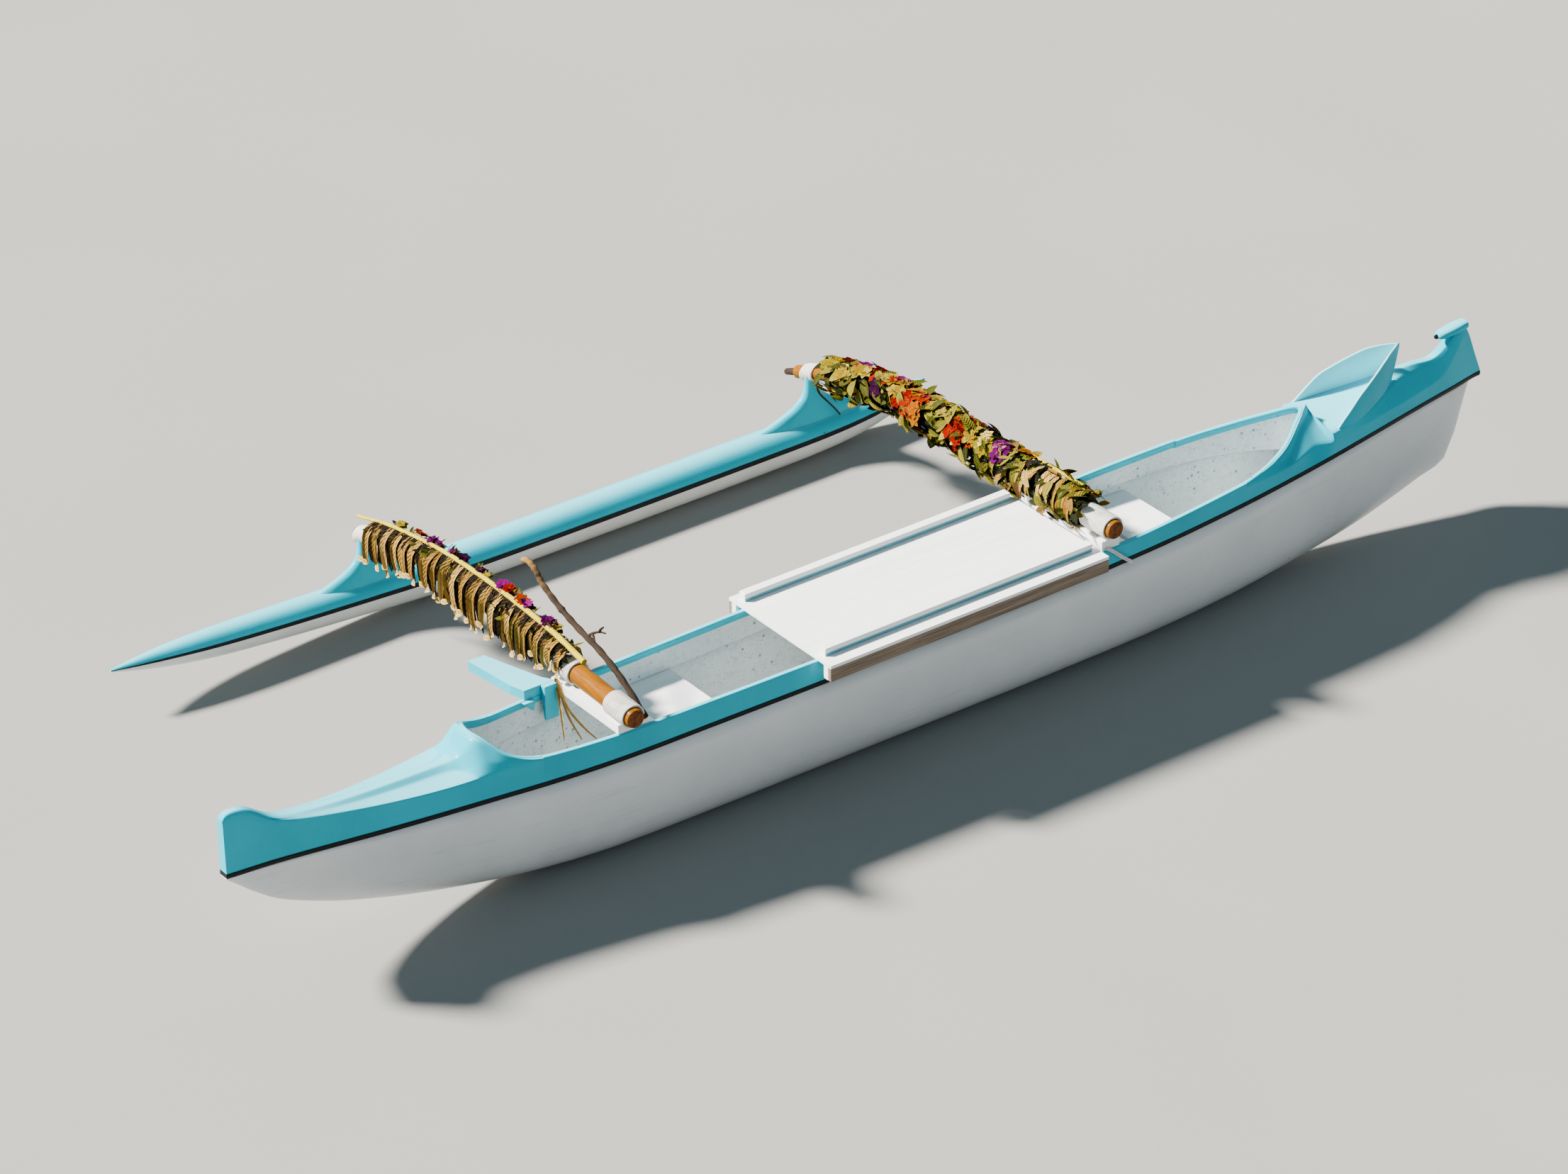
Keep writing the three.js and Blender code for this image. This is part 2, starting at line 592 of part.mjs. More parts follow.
function add(name, geometry, colour, boom = { x: 0, skew: 0 }) {
  const mesh = new THREE.Mesh(geometry, material(colour));
  mesh.name = name;
  mesh.position.x = boom.x;
  mesh.rotation.z = -THREE.MathUtils.degToRad(boom.skew);
  hullFrame.add(mesh);
}

for (const [name, x0, x1] of HULL_PARTS) add(`hull_${name}`, hullShell(x0, x1), 'underbody');
for (const [name, side] of [['port', 1], ['starboard', -1]]) {
  add(`seam_stripe_${name}`, seamStripe(side), 'black');
  add(`gunwale_${name}`, gunwale(side), 'turquoise');
  add(`liner_${name}`, liner(side), 'speckled');
  add(`board_lip_${name}`, boardLip(side), 'rawWood');
}
add('stern_deck', sternDeck(), 'turquoise');
add('bow_deck', bowDeck(), 'turquoise');
for (const [name, x0, x1] of SEATS) add(name, seat(x0, x1), 'white');
for (const [name, boom] of Object.entries(BOOMS)) {
  add(`boom_${name}`, boomGrown(0, boom.end), 'varnish', boom);
  add(`thwart_${name}`, thwart(boom.x), 'white');
  for (const [side, y0, y1] of HULL_LASHINGS) add(`lashing_${name}_${side}`, lashing(y0, y1), 'rope', boom);
  add(`lashing_${name}_float`, lashing(...FLOAT_LASHING), 'rope', boom);
  add(`pylon_${name}`, pylon(boom), 'turquoise');
}
add('boom_peg_fore', boomPeg(), 'driftwood', BOOMS.fore);
add('float_lower', floatLower(), 'underbody');
add('float_stripe', floatStripe(), 'black');
add('float_upper', floatUpper(), 'turquoise');
add('board_panel', boardPanel(), 'white');
add('board_rail_near', boardRail(RAIL.nearY), 'white');
add('board_rail_far', boardRail(RAIL.farY), 'white');
add('bracket_arm', bracketArm(), 'turquoise');
add('bracket_pad', bracketPad(), 'turquoise');
add('pole', pole(), 'driftwood');
add('frond_midrib', frondMidrib(), 'midrib', BOOMS.aft);
add('leaf_bundle_aft', leafBundle(), 'straw', BOOMS.aft);
add('leaflet_fringe', leafletFringe(), 'straw', BOOMS.aft);
add('leaf_wrap_fore', leafWrap(), 'green', BOOMS.fore);

// Heel to port until the float's bottom is level with the keel strip's port edge
const reach = FLOAT_Y - KEEL_HALF;
const heel = Math.asin(FLOAT_R / Math.hypot(FLOAT_Z, reach)) - Math.atan2(FLOAT_Z, reach);
hullFrame.rotation.x = heel;

export default root;
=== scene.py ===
# Looks of the outrigger canoe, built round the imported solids. Sizes are millimetres in the upright
# hull frame (+X to the bow, +Y to port, keel strip at z = 0); TO_ROW heels them into the row frame in metres.
import bmesh
import bpy
from math import asin, atan2, copysign, cos, hypot, pi, radians, sin, tan
from random import choice, random, seed, uniform
from mathutils import Matrix, Vector
from mathutils.bvhtree import BVHTree


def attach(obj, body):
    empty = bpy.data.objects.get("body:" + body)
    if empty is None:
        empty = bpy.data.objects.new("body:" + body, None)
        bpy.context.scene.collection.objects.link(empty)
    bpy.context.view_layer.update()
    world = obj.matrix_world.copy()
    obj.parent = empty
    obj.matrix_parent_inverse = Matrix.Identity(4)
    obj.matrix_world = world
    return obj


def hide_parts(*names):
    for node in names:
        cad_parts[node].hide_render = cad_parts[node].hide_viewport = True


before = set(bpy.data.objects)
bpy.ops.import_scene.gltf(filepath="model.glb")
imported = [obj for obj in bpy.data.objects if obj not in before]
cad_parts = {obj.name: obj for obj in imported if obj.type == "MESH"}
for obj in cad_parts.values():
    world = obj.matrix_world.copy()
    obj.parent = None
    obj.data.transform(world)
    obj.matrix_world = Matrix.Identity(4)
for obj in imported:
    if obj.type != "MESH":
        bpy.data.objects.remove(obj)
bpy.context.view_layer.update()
seed(11)

# Driving dimensions, as in the part's source
KEEL_HALF, STRIPE_HALF, WALL, LINER = 15, 10, 12, 6
RIM_WIDTH, RIM_LEG, RIM_BULGE = 24, 35, 4
COCKPIT_AFT, COCKPIT_FORE = -2150, 2000
GUNWALE_AFT, GUNWALE_FORE = -1950, 1500
FLOAT_Y, FLOAT_Z, FLOAT_R = 1740, 265, 91
FLOAT_SEAM_DEG, FLOAT_STRIPE = 7, 19
BOOMS = {"aft": (-1578, 2.4, 1790), "fore": (758, 0.0, 1835)}  # x, turn in degrees, outer end
BOOM_Z = 705
ROPE = 10.4  # rope diameter
LASHINGS = {"aft": (("starboard", -285, -136), ("port", 106, 282), ("float", 1688, 1784)),
            "fore": (("starboard", -285, -120), ("port", 162, 282), ("float", 1688, 1784))}

# x, keel z, half width at the seam, fullness
HULL = [
    (-3252, 497, 22, 1.5), (-3215, 466, 26, 1.5), (-3150, 410, 30, 1.6), (-3030, 323, 40, 1.7),
    (-2800, 222, 72, 1.8), (-2600, 158, 105, 2.0), (-2380, 104, 139, 2.2), (-2150, 60, 172, 2.3),
    (-1900, 27, 208, 2.4), (-1600, 7, 236, 2.5), (-1200, 0, 248, 2.5), (-600, 0, 261, 2.5),
    (0, 0, 273, 2.5), (500, 0, 282, 2.5), (1000, 0, 275, 2.5), (1300, 5, 259, 2.5), (1600, 16, 234, 2.4),
    (1950, 40, 190, 2.2), (2270, 76, 138, 2.0), (2520, 130, 94, 1.8), (2660, 170, 70, 1.7),
    (2800, 214, 47, 1.6), (2852, 320, 38, 1.6), (2890, 450, 30, 1.6), (2915, 543, 24, 1.6),
    (2985, 553, 16, 1.6),
]
SEAM = [(-3252, 513), (-2600, 502), (-1200, 508), (0, 515), (1000, 536), (2000, 558), (2990, 568)]
RIM = [(-2000, 624), (-1900, 617), (-1700, 612), (-1100, 610), (-700, 610), (820, 610), (1100, 620),
       (1500, 638)]
# x, edge half, edge z, ridge foot half, ridge foot z, crest half, crest z
STERN_DECK = [
    (-3252, 20, 738, 17, 748, 12, 752), (-3243, 20, 755, 17, 765, 12, 769),
    (-3222, 22, 762, 19, 772, 13, 777), (-3170, 26, 756, 23, 770, 15, 776),
    (-3124, 28, 736, 25, 748, 15, 754), (-3070, 31, 698, 26, 706, 15, 710),
    (-3017, 36, 671, 28, 678, 15, 681), (-2900, 50, 648, 30, 654, 14, 659),
    (-2760, 66, 628, 34, 635, 14, 646), (-2600, 92, 612, 38, 620, 14, 637),
    (-2400, 124, 602, 42, 611, 14, 632), (-2270, 142, 602, 46, 611, 16, 632),
    (-2225, 147, 604, 96, 618, 40, 650), (-2195, 151, 605, 116, 642, 62, 700),
    (-2172, 156, 607, 130, 652, 72, 733), (-2140, 164, 609, 146, 650, 100, 712),
    (-2100, 175, 611, 168, 640, 158, 668), (-2000, 196, 613, 195, 619, 190, 627),
    (-1950, 203, 612, 202, 616, 199, 620),
]
BOW_DECK = [
    (1500, 240, 612, 237, 624, 229, 638), (1600, 228, 613, 223, 628, 215, 645),
    (1700, 215, 614, 205, 634, 190, 658), (1800, 203, 615, 168, 640, 149, 677),
    (1900, 170, 630, 97, 688, 85, 707), (1960, 155, 628, 58, 702, 45, 724),
    (2014, 170, 621, 24, 708, 8, 737), (2032, 172, 618, 160, 660, 8, 662),
    (2100, 160, 619, 150, 661, 8, 664), (2200, 147, 620, 132, 667, 8, 670),
    (2300, 130, 622, 106, 681, 8, 684), (2400, 112, 625, 72, 698, 8, 702),
    (2450, 104, 627, 54, 712, 10, 722), (2500, 97, 629, 44, 718, 13, 735),
    (2600, 79, 632, 36, 716, 16, 739), (2690, 63, 636, 30, 702, 17, 720), (2745, 54, 652, 30, 714, 19, 735),
    (2795, 46, 694, 30, 758, 20, 777), (2850, 34, 764, 26, 804, 19, 818), (2893, 24, 806, 21, 830, 14, 839),
    (2940, 21, 684, 17, 697, 10, 703), (2985, 16, 582, 13, 588, 8, 592),
]
STEPS = (2014, 2032)  # top and foot of the flank before the bow coaming
# Cockpit opening: x, half width
COCKPIT_STERN = [(-2158, 0), (-2152, 42), (-2127, 92), (-2086, 140), (-2030, 164), (-1950, 181)]
COCKPIT_BOW = [(1500, 223), (1600, 203), (1700, 173), (1800, 131), (1900, 68), (1985, 0)]
# Splash guard wing: x, half width, top height
GUARD = [
    (2052, 158, 645), (2100, 150, 683), (2150, 145, 723), (2200, 136, 760), (2250, 123, 783),
    (2300, 108, 804), (2350, 91, 824), (2400, 72, 842), (2450, 48, 851), (2500, 22, 854), (2528, 3, 853),
]
# Cap of the bow head: x, half width, underside, top
BEAK = [
    (2741, 12, 805, 817), (2746, 19, 801, 823), (2760, 27, 798, 829), (2800, 32, 799, 836),
    (2850, 33, 802, 842), (2896, 28, 808, 844),
]
# Float: x, centre rise, radius
FLOAT = [
    (-2718, 98, 5), (-2600, 88, 27), (-2450, 76, 47), (-2243, 60, 63), (-1935, 41, 72), (-1600, 24, 78),
    (-1250, 10, 87), (-900, 1, 91), (600, 1, 91), (850, 4, 86), (1050, 14, 73), (1200, 31, 53),
    (1300, 49, 31), (1362, 66, 5),
]
# Boom axis: y, z, radius
BOOM = [
    (-300, BOOM_Z, 38), (-292, BOOM_Z, 41), (400, BOOM_Z, 41), (1000, 703, 40), (1300, 676, 37),
    (1550, 622, 33), (1700, 577, 31), (1790, 543, 30), (1835, 525, 29),
]
PEG = [(1835, 525, 17), (1880, 507, 16), (1919, 491, 14), (1925, 489, 11)]
# Pylon: z, half length, half width
PYLON = [
    (336, 300, 44), (356, 285, 42), (375, 225, 38), (395, 165, 35), (418, 108, 33), (440, 75, 31),
    (465, 50, 29), (500, 39, 28), (556, 36, 27),
]
MIDRIB = [(62, 780), (290, 806), (644, 810), (886, 800), (1133, 777), (1518, 705), (1790, 626)]
FRINGE_FOOT = [(160, 690), (250, 664), (321, 636), (802, 580), (1247, 572), (1640, 476)]
POLE = [
    (-262, 668), (-112, 764), (34, 824), (182, 858), (310, 897), (416, 946), (457, 984), (510, 1004),
    (548, 992),
]
POLE_X = BOOMS["aft"][0] + 57.5

REACH = FLOAT_Y - KEEL_HALF
HEEL = atan2(FLOAT_Z, REACH) - asin(FLOAT_R / hypot(FLOAT_Z, REACH))
TO_ROW = Matrix.Rotation(-HEEL, 4, "X") @ Matrix.Scale(0.001, 4)
FLOOR_Z = -KEEL_HALF * sin(HEEL) / 1000
SIDES = (("port", 1), ("starboard", -1))


def boom_place(name):
    x, turn, _ = BOOMS[name]
    return Matrix.Translation((x, 0, 0)) @ Matrix.Rotation(-radians(turn), 4, "Z")


def put(name, data):
    """New object in the scene."""
    item = bpy.data.objects.new(name, data)
    bpy.context.scene.collection.objects.link(item)
    return item


# Camera: where the photograph was taken from, in metres in the hull frame, turned to the canoe
CAMERA_AT = Vector((-12.024, -15.658, 12.111))
CAMERA_RIGHT = Vector((0.86902, -0.48943, -0.07255))
CAMERA_FORWARD = Vector((0.4396, 0.83105, -0.34074))
CAMERA_TARGET = Vector((-0.27, 0.55, 0.42))
PHOTO_WIDTH = 2212
FOCAL_PIXELS = 8100  # longer than the photograph's own 1744
SENSOR = 36


def make_camera():
    turn = TO_ROW.to_3x3().normalized()
    at = turn @ CAMERA_AT
    forward = (turn @ CAMERA_FORWARD).normalized()
    aim = (turn @ CAMERA_TARGET - at).normalized()
    right = forward.rotation_difference(aim) @ (turn @ CAMERA_RIGHT).normalized()
    data = bpy.data.cameras.new("camera")
    data.sensor_width = SENSOR
    data.lens = FOCAL_PIXELS / PHOTO_WIDTH * SENSOR
    data.clip_end = 200
    camera = put("camera", data)
    axes = Matrix((right, right.cross(aim), -aim)).transposed()
    camera.matrix_world = Matrix.Translation(at) @ axes.to_4x4()
    bpy.context.scene.camera = camera


make_camera()


# Interpolation in tables whose first column rises
def at(table, column, x):
    if x <= table[0][0]:
        return table[0][column]
    for a, b in zip(table, table[1:]):
        if x < b[0]:
            return a[column] + (b[column] - a[column]) * (x - a[0]) / (b[0] - a[0])
    return table[-1][column]


def smooth_at(table, column, x):
    last = len(table) - 1
    if x >= table[last][0]:
        return table[last][column]
    if x <= table[0][0]:
        return table[0][column]
    i = next(k for k in range(last) if table[k + 1][0] > x)
    p, a, b, q = (table[k] for k in (max(i - 1, 0), i, i + 1, min(i + 2, last)))
    span = b[0] - a[0]
    t = (x - a[0]) / span
    m0 = (b[column] - p[column]) / (b[0] - p[0]) * span
    m1 = (q[column] - a[column]) / (q[0] - a[0]) * span
    return (a[column] * (1 + 2 * t) * (1 - t) ** 2 + m0 * t * (1 - t) ** 2
            + b[column] * t * t * (3 - 2 * t) + m1 * t * t * (t - 1))


def curve(table, column=1):
    return lambda x: smooth_at(table, column, x)


seam_z, seam_half, rim_z = curve(SEAM), curve(HULL, 2), curve(RIM)
boom_z, midrib_z = curve(BOOM), curve(MIDRIB)


def boom_r(y):
    return at(BOOM, 2, y)


def spread(start, end, step):
    count = max(1, round(abs(end - start) / step))
    return [start + (end - start) * i / count for i in range(count + 1)]


def stations(table, start, end, step):
    """Table rows between start and end, filled up evenly to about step."""
    marks = [start] + [row[0] for row in table if start < row[0] < end] + [end]
    return [start] + [x for a, b in zip(marks, marks[1:]) for x in spread(a, b, step)[1:]]


def between(p, a, b, q, t):
    """Point at share t of the smooth curve from a to b, with p before and q after them."""
    return 0.5 * (2 * a + (b - p) * t + (2 * p - 5 * a + 4 * b - q) * t * t
                  + (3 * a - p - 3 * b + q) * t * t * t)


def smooth_path(points, steps=8):
    """Points of a smooth curve through the given ones."""
    path = [Vector(p) for p in points]
    out = []
    for i in range(len(path) - 1):
        near = [path[min(max(k, 0), len(path) - 1)] for k in (i - 1, i, i + 1, i + 2)]
        out += [between(*near, k / steps) for k in range(steps)]
    return [*out, path[-1]]


def circle(sides):
    """Cosine and sine of evenly spaced angles."""
    return [(cos(2 * pi * k / sides), sin(2 * pi * k / sides)) for k in range(sides)]


class Heap:
    """Vertices and faces that end up in one mesh, with a UV and a tint for each vertex."""

    def __init__(self):
        self.points, self.faces, self.slots, self.uvs, self.tints = [], [], [], [], []

    def add(self, points, faces, slot=0, uvs=None, tint=0.5):
        start = len(self.points)
        self.points += [Vector(p) for p in points]
        self.faces += [[start + k for k in face] for face in faces]
        self.slots += [slot] * len(faces)
        self.uvs += uvs or [(0.0, 0.0)] * len(points)
        self.tints += [tint] * len(points)

    def loft(self, rings, closed=True, caps=True, slots=(0,), uvs=None, tint=0.5):
        """Skin over rings with equal point counts; slots are the material slots of its columns."""
        count, width = len(rings), len(rings[0])
        start, columns = len(self.slots), width if closed else width - 1
        faces = []
        for r in range(count - 1):
            for k in range(columns):
                a, b = r * width + k, r * width + (k + 1) % width
                faces.append([a, b, b + width, a + width])
        skin = len(faces)
        if caps:
            faces += [list(range(width))[::-1], [(count - 1) * width + k for k in range(width)]]
        self.add([p for ring in rings for p in ring], faces, 0, uvs, tint)
        self.slots[start:start + skin] = [slots[i % columns % len(slots)] for i in range(skin)]

    def mesh(self, name, place, smooth):
        matrix = TO_ROW @ place if place else TO_ROW
        mesh = bpy.data.meshes.new(name)
        mesh.from_pydata([matrix @ p for p in self.points], [], self.faces)
        mesh.polygons.foreach_set("material_index", self.slots)
        mesh.polygons.foreach_set("use_smooth", [smooth] * len(self.faces))
        layer = mesh.uv_layers.new(name="uv")
        for loop in mesh.loops:
            layer.data[loop.index].uv = self.uvs[loop.vertex_index]
        tint = mesh.attributes.new("tint", "FLOAT", "POINT")
        tint.data.foreach_set("value", self.tints)
        mesh.validate()
        return mesh


def lofted(rings, **options):
    heap = Heap()
    heap.loft(rings, **options)
    return heap


def sharpen(piece, angle):
    """Smooth shading that keeps edges sharper than angle degrees."""
    work = bmesh.new()
    work.from_mesh(piece.data)
    bmesh.ops.remove_doubles(work, verts=work.verts, dist=1e-6)
    bmesh.ops.recalc_face_normals(work, faces=work.faces)
    for face in work.faces:
        face.smooth = True
    for edge in work.edges:
        if len(edge.link_faces) == 2:
            a, b = (f.normal for f in edge.link_faces)
            edge.smooth = a.dot(b) > cos(radians(angle))
    work.to_mesh(piece.data)
    work.free()


def show(name, heap, materials, replaces=(), sharp=None, place=None, smooth=True):
    """Puts a heap in the scene as a piece of the canoe."""
    piece = put(name, heap.mesh(name, place, smooth))
    for material in materials:
        piece.data.materials.append(material)
    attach(piece, "root")
    if replaces:
        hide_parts(*replaces)
    if sharp:
        sharpen(piece, sharp)
    return piece


def modify(piece, kind, **values):
    modifier = piece.modifiers.new(kind.lower(), kind)
    for key, value in values.items():
        setattr(modifier, key, value)


def settle(piece):
    """Applies a piece's modifiers."""
    graph = bpy.context.evaluated_depsgraph_get()
    mesh = bpy.data.meshes.new_from_object(piece.evaluated_get(graph))
    piece.modifiers.clear()
    piece.data = mesh


def frames_along(points):
    """Each point with its tangent and two normals, carried along without twist."""
    path = [Vector(p) for p in points]
    out, side = [], None
    for i, p in enumerate(path):
        tangent = (path[min(i + 1, len(path) - 1)] - path[max(i - 1, 0)]).normalized()
        side = side or tangent.orthogonal().normalized()
        side = (side - tangent * side.dot(tangent)).normalized()
        out.append((p, side, tangent.cross(side)))
    return out


LOBE_DEPTH = 0.16  # of the radius, between a rope's strands


def tube(heap, points, radii, sides=12, lobes=0, lay=60.0, cap_slot=0, tint=0.5):
    """Tube along points; lobes twist round it every lay millimetres as the strands of a rope do."""
    rings, uvs, run, before = [], [], 0.0, None
    if not hasattr(radii, "__len__"):
        radii = [radii] * len(points)
    for (p, side, up), radius in zip(frames_along(points), radii):
        run += (p - before).length if before else 0.0
        before = p
        ring = []
        for k, (c, s) in enumerate(circle(sides)):
            wave = lobes * 2 * pi * k / sides + 2 * pi * run / lay
            r = radius * (1 - LOBE_DEPTH * (0.5 - 0.5 * cos(wave))) if lobes else radius
            ring.append(p + side * (r * c) + up * (r * s))
            uvs.append((k / sides, run / 1000))
        rings.append(ring)
    heap.loft(rings, caps=False, uvs=uvs, tint=tint)
    fan = [[sides, k, (k + 1) % sides] for k in range(sides)]
    for ring, faces in ((rings[0], [[a, c, b] for a, b, c in fan]), (rings[-1], fan)):
        heap.add([*ring, sum(ring, Vector()) / sides], faces, cap_slot, [*circle(sides), (0.0, 0.0)], tint)


class Paint:
    """A node material on a Principled shader, with short calls for the usual nodes."""

    def __init__(self, name, roughness=0.5, coat=0.0, sheen=0.0, gloss=0.25):
        self.material = bpy.data.materials.new(name)
        self.material.use_nodes = True
        self.tree = self.material.node_tree
        self.shader = self.tree.nodes["Principled BSDF"]
        for key, value in (("Roughness", roughness), ("Specular IOR Level", gloss), ("Coat Weight", coat),
                           ("Coat Roughness", 0.12), ("Sheen Weight", sheen)):
            self.shader.inputs[key].default_value = value
        self.places = self.node("TexCoord")

    def feed(self, value, socket):
        if isinstance(value, bpy.types.NodeSocket):
            self.tree.links.new(value, socket)
        else:
            socket.default_value = (*value, 1) if socket.type == "RGBA" else value

    def node(self, kind, inputs=(), **values):
        """New node with values for its settings and for its inputs."""
        node = self.tree.nodes.new("ShaderNode" + kind)
        for key, value in values.items():
            setattr(node, key, value)
        for key, value in dict(inputs).items():
            self.feed(value, node.inputs[key])
        return node

    def where(self, stretch=(1, 1, 1), uv=False):
        place = self.places.outputs["UV" if uv else "Object"]
        return self.node("Mapping", {"Vector": place, "Scale": stretch}).outputs["Vector"]

    def noise(self, scale, detail=3.0, rough=0.5, stretch=(1, 1, 1), uv=False, warp=0.0):
        return self.node("TexNoise", {"Vector": self.where(stretch, uv), "Scale": scale, "Detail": detail,
                                      "Roughness": rough, "Distortion": warp}).outputs["Fac"]

    def cells(self, scale, stretch=(1, 1, 1)):
        return self.node("TexVoronoi", {"Vector": self.where(stretch), "Scale": scale}).outputs["Distance"]

    def span(self, value, low, high, to_low=0.0, to_high=1.0):
        return self.node("MapRange", {"Value": value, "From Min": low, "From Max": high, "To Min": to_low,
                                      "To Max": to_high}).outputs["Result"]

    def maths(self, kind, a, b=0.0):
        return self.node("Math", {0: a, 1: b}, operation=kind).outputs[0]

    def ramp(self, value, stops):
        node = self.node("ValToRGB", {"Fac": value})
        elements = node.color_ramp.elements
        while len(elements) < len(stops):
            elements.new(0.5)
        for element, (place, colour) in zip(elements, stops):
            element.position = place
            element.color = (*colour, 1)
        return node.outputs["Color"]

    def blend(self, share, a, b):
        node = self.node("Mix", {"Factor": share}, data_type="RGBA")
        for value, socket in zip((a, b), [s for s in node.inputs if s.type == "RGBA"]):
            self.feed(value, socket)
        return next(s for s in node.outputs if s.type == "RGBA")

    def over(self, body, colour, value, low, high, share_low, share_high):
        """Body with a colour over it, by a share that runs from share_low to share_high with value."""
        return self.blend(self.span(value, low, high, share_low, share_high), body, colour)

    def flecks(self, body, colour, scale, size, share, stretch=(1, 1, 1), start=0.45):
        """Body with round flecks over it, in patches where a slow noise passes start."""
        dots = self.span(self.cells(scale, stretch), size * 0.6, size, share, 0)
        patches = self.span(self.noise(scale / 3, 1), start, 0.55)
        return self.blend(self.maths("MULTIPLY", dots, patches), body, colour)

    def axis(self, name, source="Object"):
        return self.node("SeparateXYZ", {0: self.places.outputs[source]}).outputs[name]

    def upward(self):
        return self.node("SeparateXYZ", {0: self.node("NewGeometry").outputs["Normal"]}).outputs["Z"]

    def ragged(self, axis, scale, detail, rough, reach):
        """Position along an axis in metres, made uneven by up to reach."""
        shift = self.span(self.noise(scale, detail, rough), 0, 1, -reach, reach)
        return self.maths("ADD", self.axis(axis), shift)

    def tint(self):
        return self.node("Attribute", attribute_name="tint").outputs["Fac"]

    def done(self, colour, *bumps, rough=None):
        """Material with this colour, bumps of (height, metres) and roughness of (value, low, high)."""
        self.feed(colour, self.shader.inputs["Base Color"])
        if rough:
            value, low, high = rough
            self.feed(self.span(value, 0, 1, low, high), self.shader.inputs["Roughness"])
        normal = {}
        for height, distance in bumps:
            bump = self.node("Bump", {"Height": height, "Distance": distance, "Strength": 1.0, **normal})
            normal = {"Normal": bump.outputs["Normal"]}
        for key, value in normal.items():
            self.feed(value, self.shader.inputs[key])
        return self.material


def gelcoat(name, colour, dust, painted_top_highlight):
    """Moulded gelcoat, paler where it faces up as a painted highlight: slow shade drift, dried salt, scuffs,
    dark nicks.
    """
    paint = Paint(name, roughness=0.3, coat=0.05, gloss=0.08)
    low, high = (tuple(min(1.0, c * factor) for c in colour) for factor in (0.88, 1.1))
    body = paint.ramp(paint.noise(2.2, 4, 0.6), [(0.3, low), (0.5, colour), (0.7, high)])
    # Painted highlight: faces turned upwards blend towards the paler colour, as sunlit tops look.
    body = paint.over(body, painted_top_highlight, paint.upward(), 0.82, 0.99, 0, 0.5)
    body = paint.over(body, dust, paint.noise(30, 8, 0.72, (1, 1, 0.35)), 0.55, 0.85, 0, 0.07)
    body = paint.over(body, dust, paint.noise(55, 3, 0.5, (0.08, 1, 3)), 0.66, 0.72, 0, 0.1)
    body = paint.flecks(body, tuple(0.18 * c for c in colour), 9, 0.05, 0.8, start=0.5)
    return paint.done(body, (paint.noise(5, 2), 0.0010), (paint.noise(420, 2), 0.00008),
                      rough=(paint.noise(26, 5, 0.7), 0.18, 0.4))


def hull_paint():
    """White underbody: grey, warmer and darker low down, with faint waterline marks and scuffs."""
    paint = Paint("underbody_gelcoat", roughness=0.3, coat=0.1)
    body = paint.ramp(paint.noise(1.8, 5, 0.6), [(0.3, (0.60, 0.61, 0.62)), (0.7, (0.72, 0.72, 0.71))])
    # Warmer and darker towards the bottom.
    body = paint.over(body, (0.46, 0.41, 0.33), paint.ragged("Z", 5, 6, 0.7, 0.12), 0.0, 0.2, 0.6, 0)
    body = paint.over(body, (0.44, 0.43, 0.40), paint.noise(30, 4, 0.6, (0.05, 1, 1.6)), 0.58, 0.74, 0, 0.35)
    body = paint.over(body, (0.42, 0.35, 0.26), paint.cells(160), 0.0, 0.1, 0.5, 0)
    return paint.done(body, (paint.noise(4, 2), 0.0015), (paint.noise(380, 2), 0.00008),
                      rough=(paint.noise(20, 5, 0.7), 0.18, 0.46))


def speckle_paint():
    """Flecked paint inside the cockpit: pale grey with dark, white and blue flecks, sand on the bottom."""
    paint = Paint("speckled_paint", roughness=0.55)
    body = paint.ramp(paint.noise(3, 4), [(0.3, (0.58, 0.64, 0.65)), (0.7, (0.70, 0.75, 0.76))])
    body = paint.over(body, (0.38, 0.46, 0.49), paint.noise(34, 7, 0.75), 0.48, 0.66, 0, 0.5)
    for fleck in (((0.10, 0.12, 0.14), 80, 0.24, 0.85), ((0.86, 0.87, 0.88), 160, 0.2, 0.8),
                  ((0.10, 0.19, 0.25), 26, 0.2, 0.85)):
        body = paint.flecks(body, *fleck, (1, 1.1, 1))
    body = paint.over(body, (0.62, 0.52, 0.37), paint.ragged("Z", 6, 6, 0.7, 0.1), 0.02, 0.2, 0.8, 0)
    return paint.done(body, (paint.noise(300, 3), 0.0004), (paint.noise(9, 2), 0.002),
                      rough=(paint.noise(60, 3), 0.4, 0.7))


def black_paint():
    paint = Paint("seam_strip_black", roughness=0.5, gloss=0.12)
    body = paint.ramp(paint.noise(30, 5, 0.7), [(0.35, (0.003, 0.003, 0.004)), (0.75, (0.010, 0.011, 0.012))])
    body = paint.over(body, (0.2, 0.19, 0.17), paint.noise(90, 6, 0.8), 0.62, 0.78, 0, 0.12)
    return paint.done(body, (paint.noise(240, 2), 0.0002), rough=(paint.noise(50), 0.25, 0.55))


BRUSH = (34, 5, 0.6, (0.06, 1, 1))  # noise of brush strokes along a plank


def board_paint():
    """White paint brushed along the planks, worn thin in places, with dried splashes."""
    paint = Paint("board_white", roughness=0.45)
    brush = paint.noise(*BRUSH)
    body = paint.ramp(brush, [(0.3, (0.80, 0.80, 0.79)), (0.65, (0.90, 0.90, 0.89))])
    body = paint.over(body, (0.52, 0.48, 0.42), paint.noise(8, 9, 0.8, (0.35, 1, 1)), 0.64, 0.74, 0, 0.3)
    body = paint.over(body, (0.45, 0.42, 0.37), paint.cells(26), 0.0, 0.09, 0.35, 0)
    return paint.done(body, (brush, 0.0006), (paint.noise(180, 3), 0.0002),
                      rough=(paint.noise(25, 6, 0.7), 0.3, 0.6))


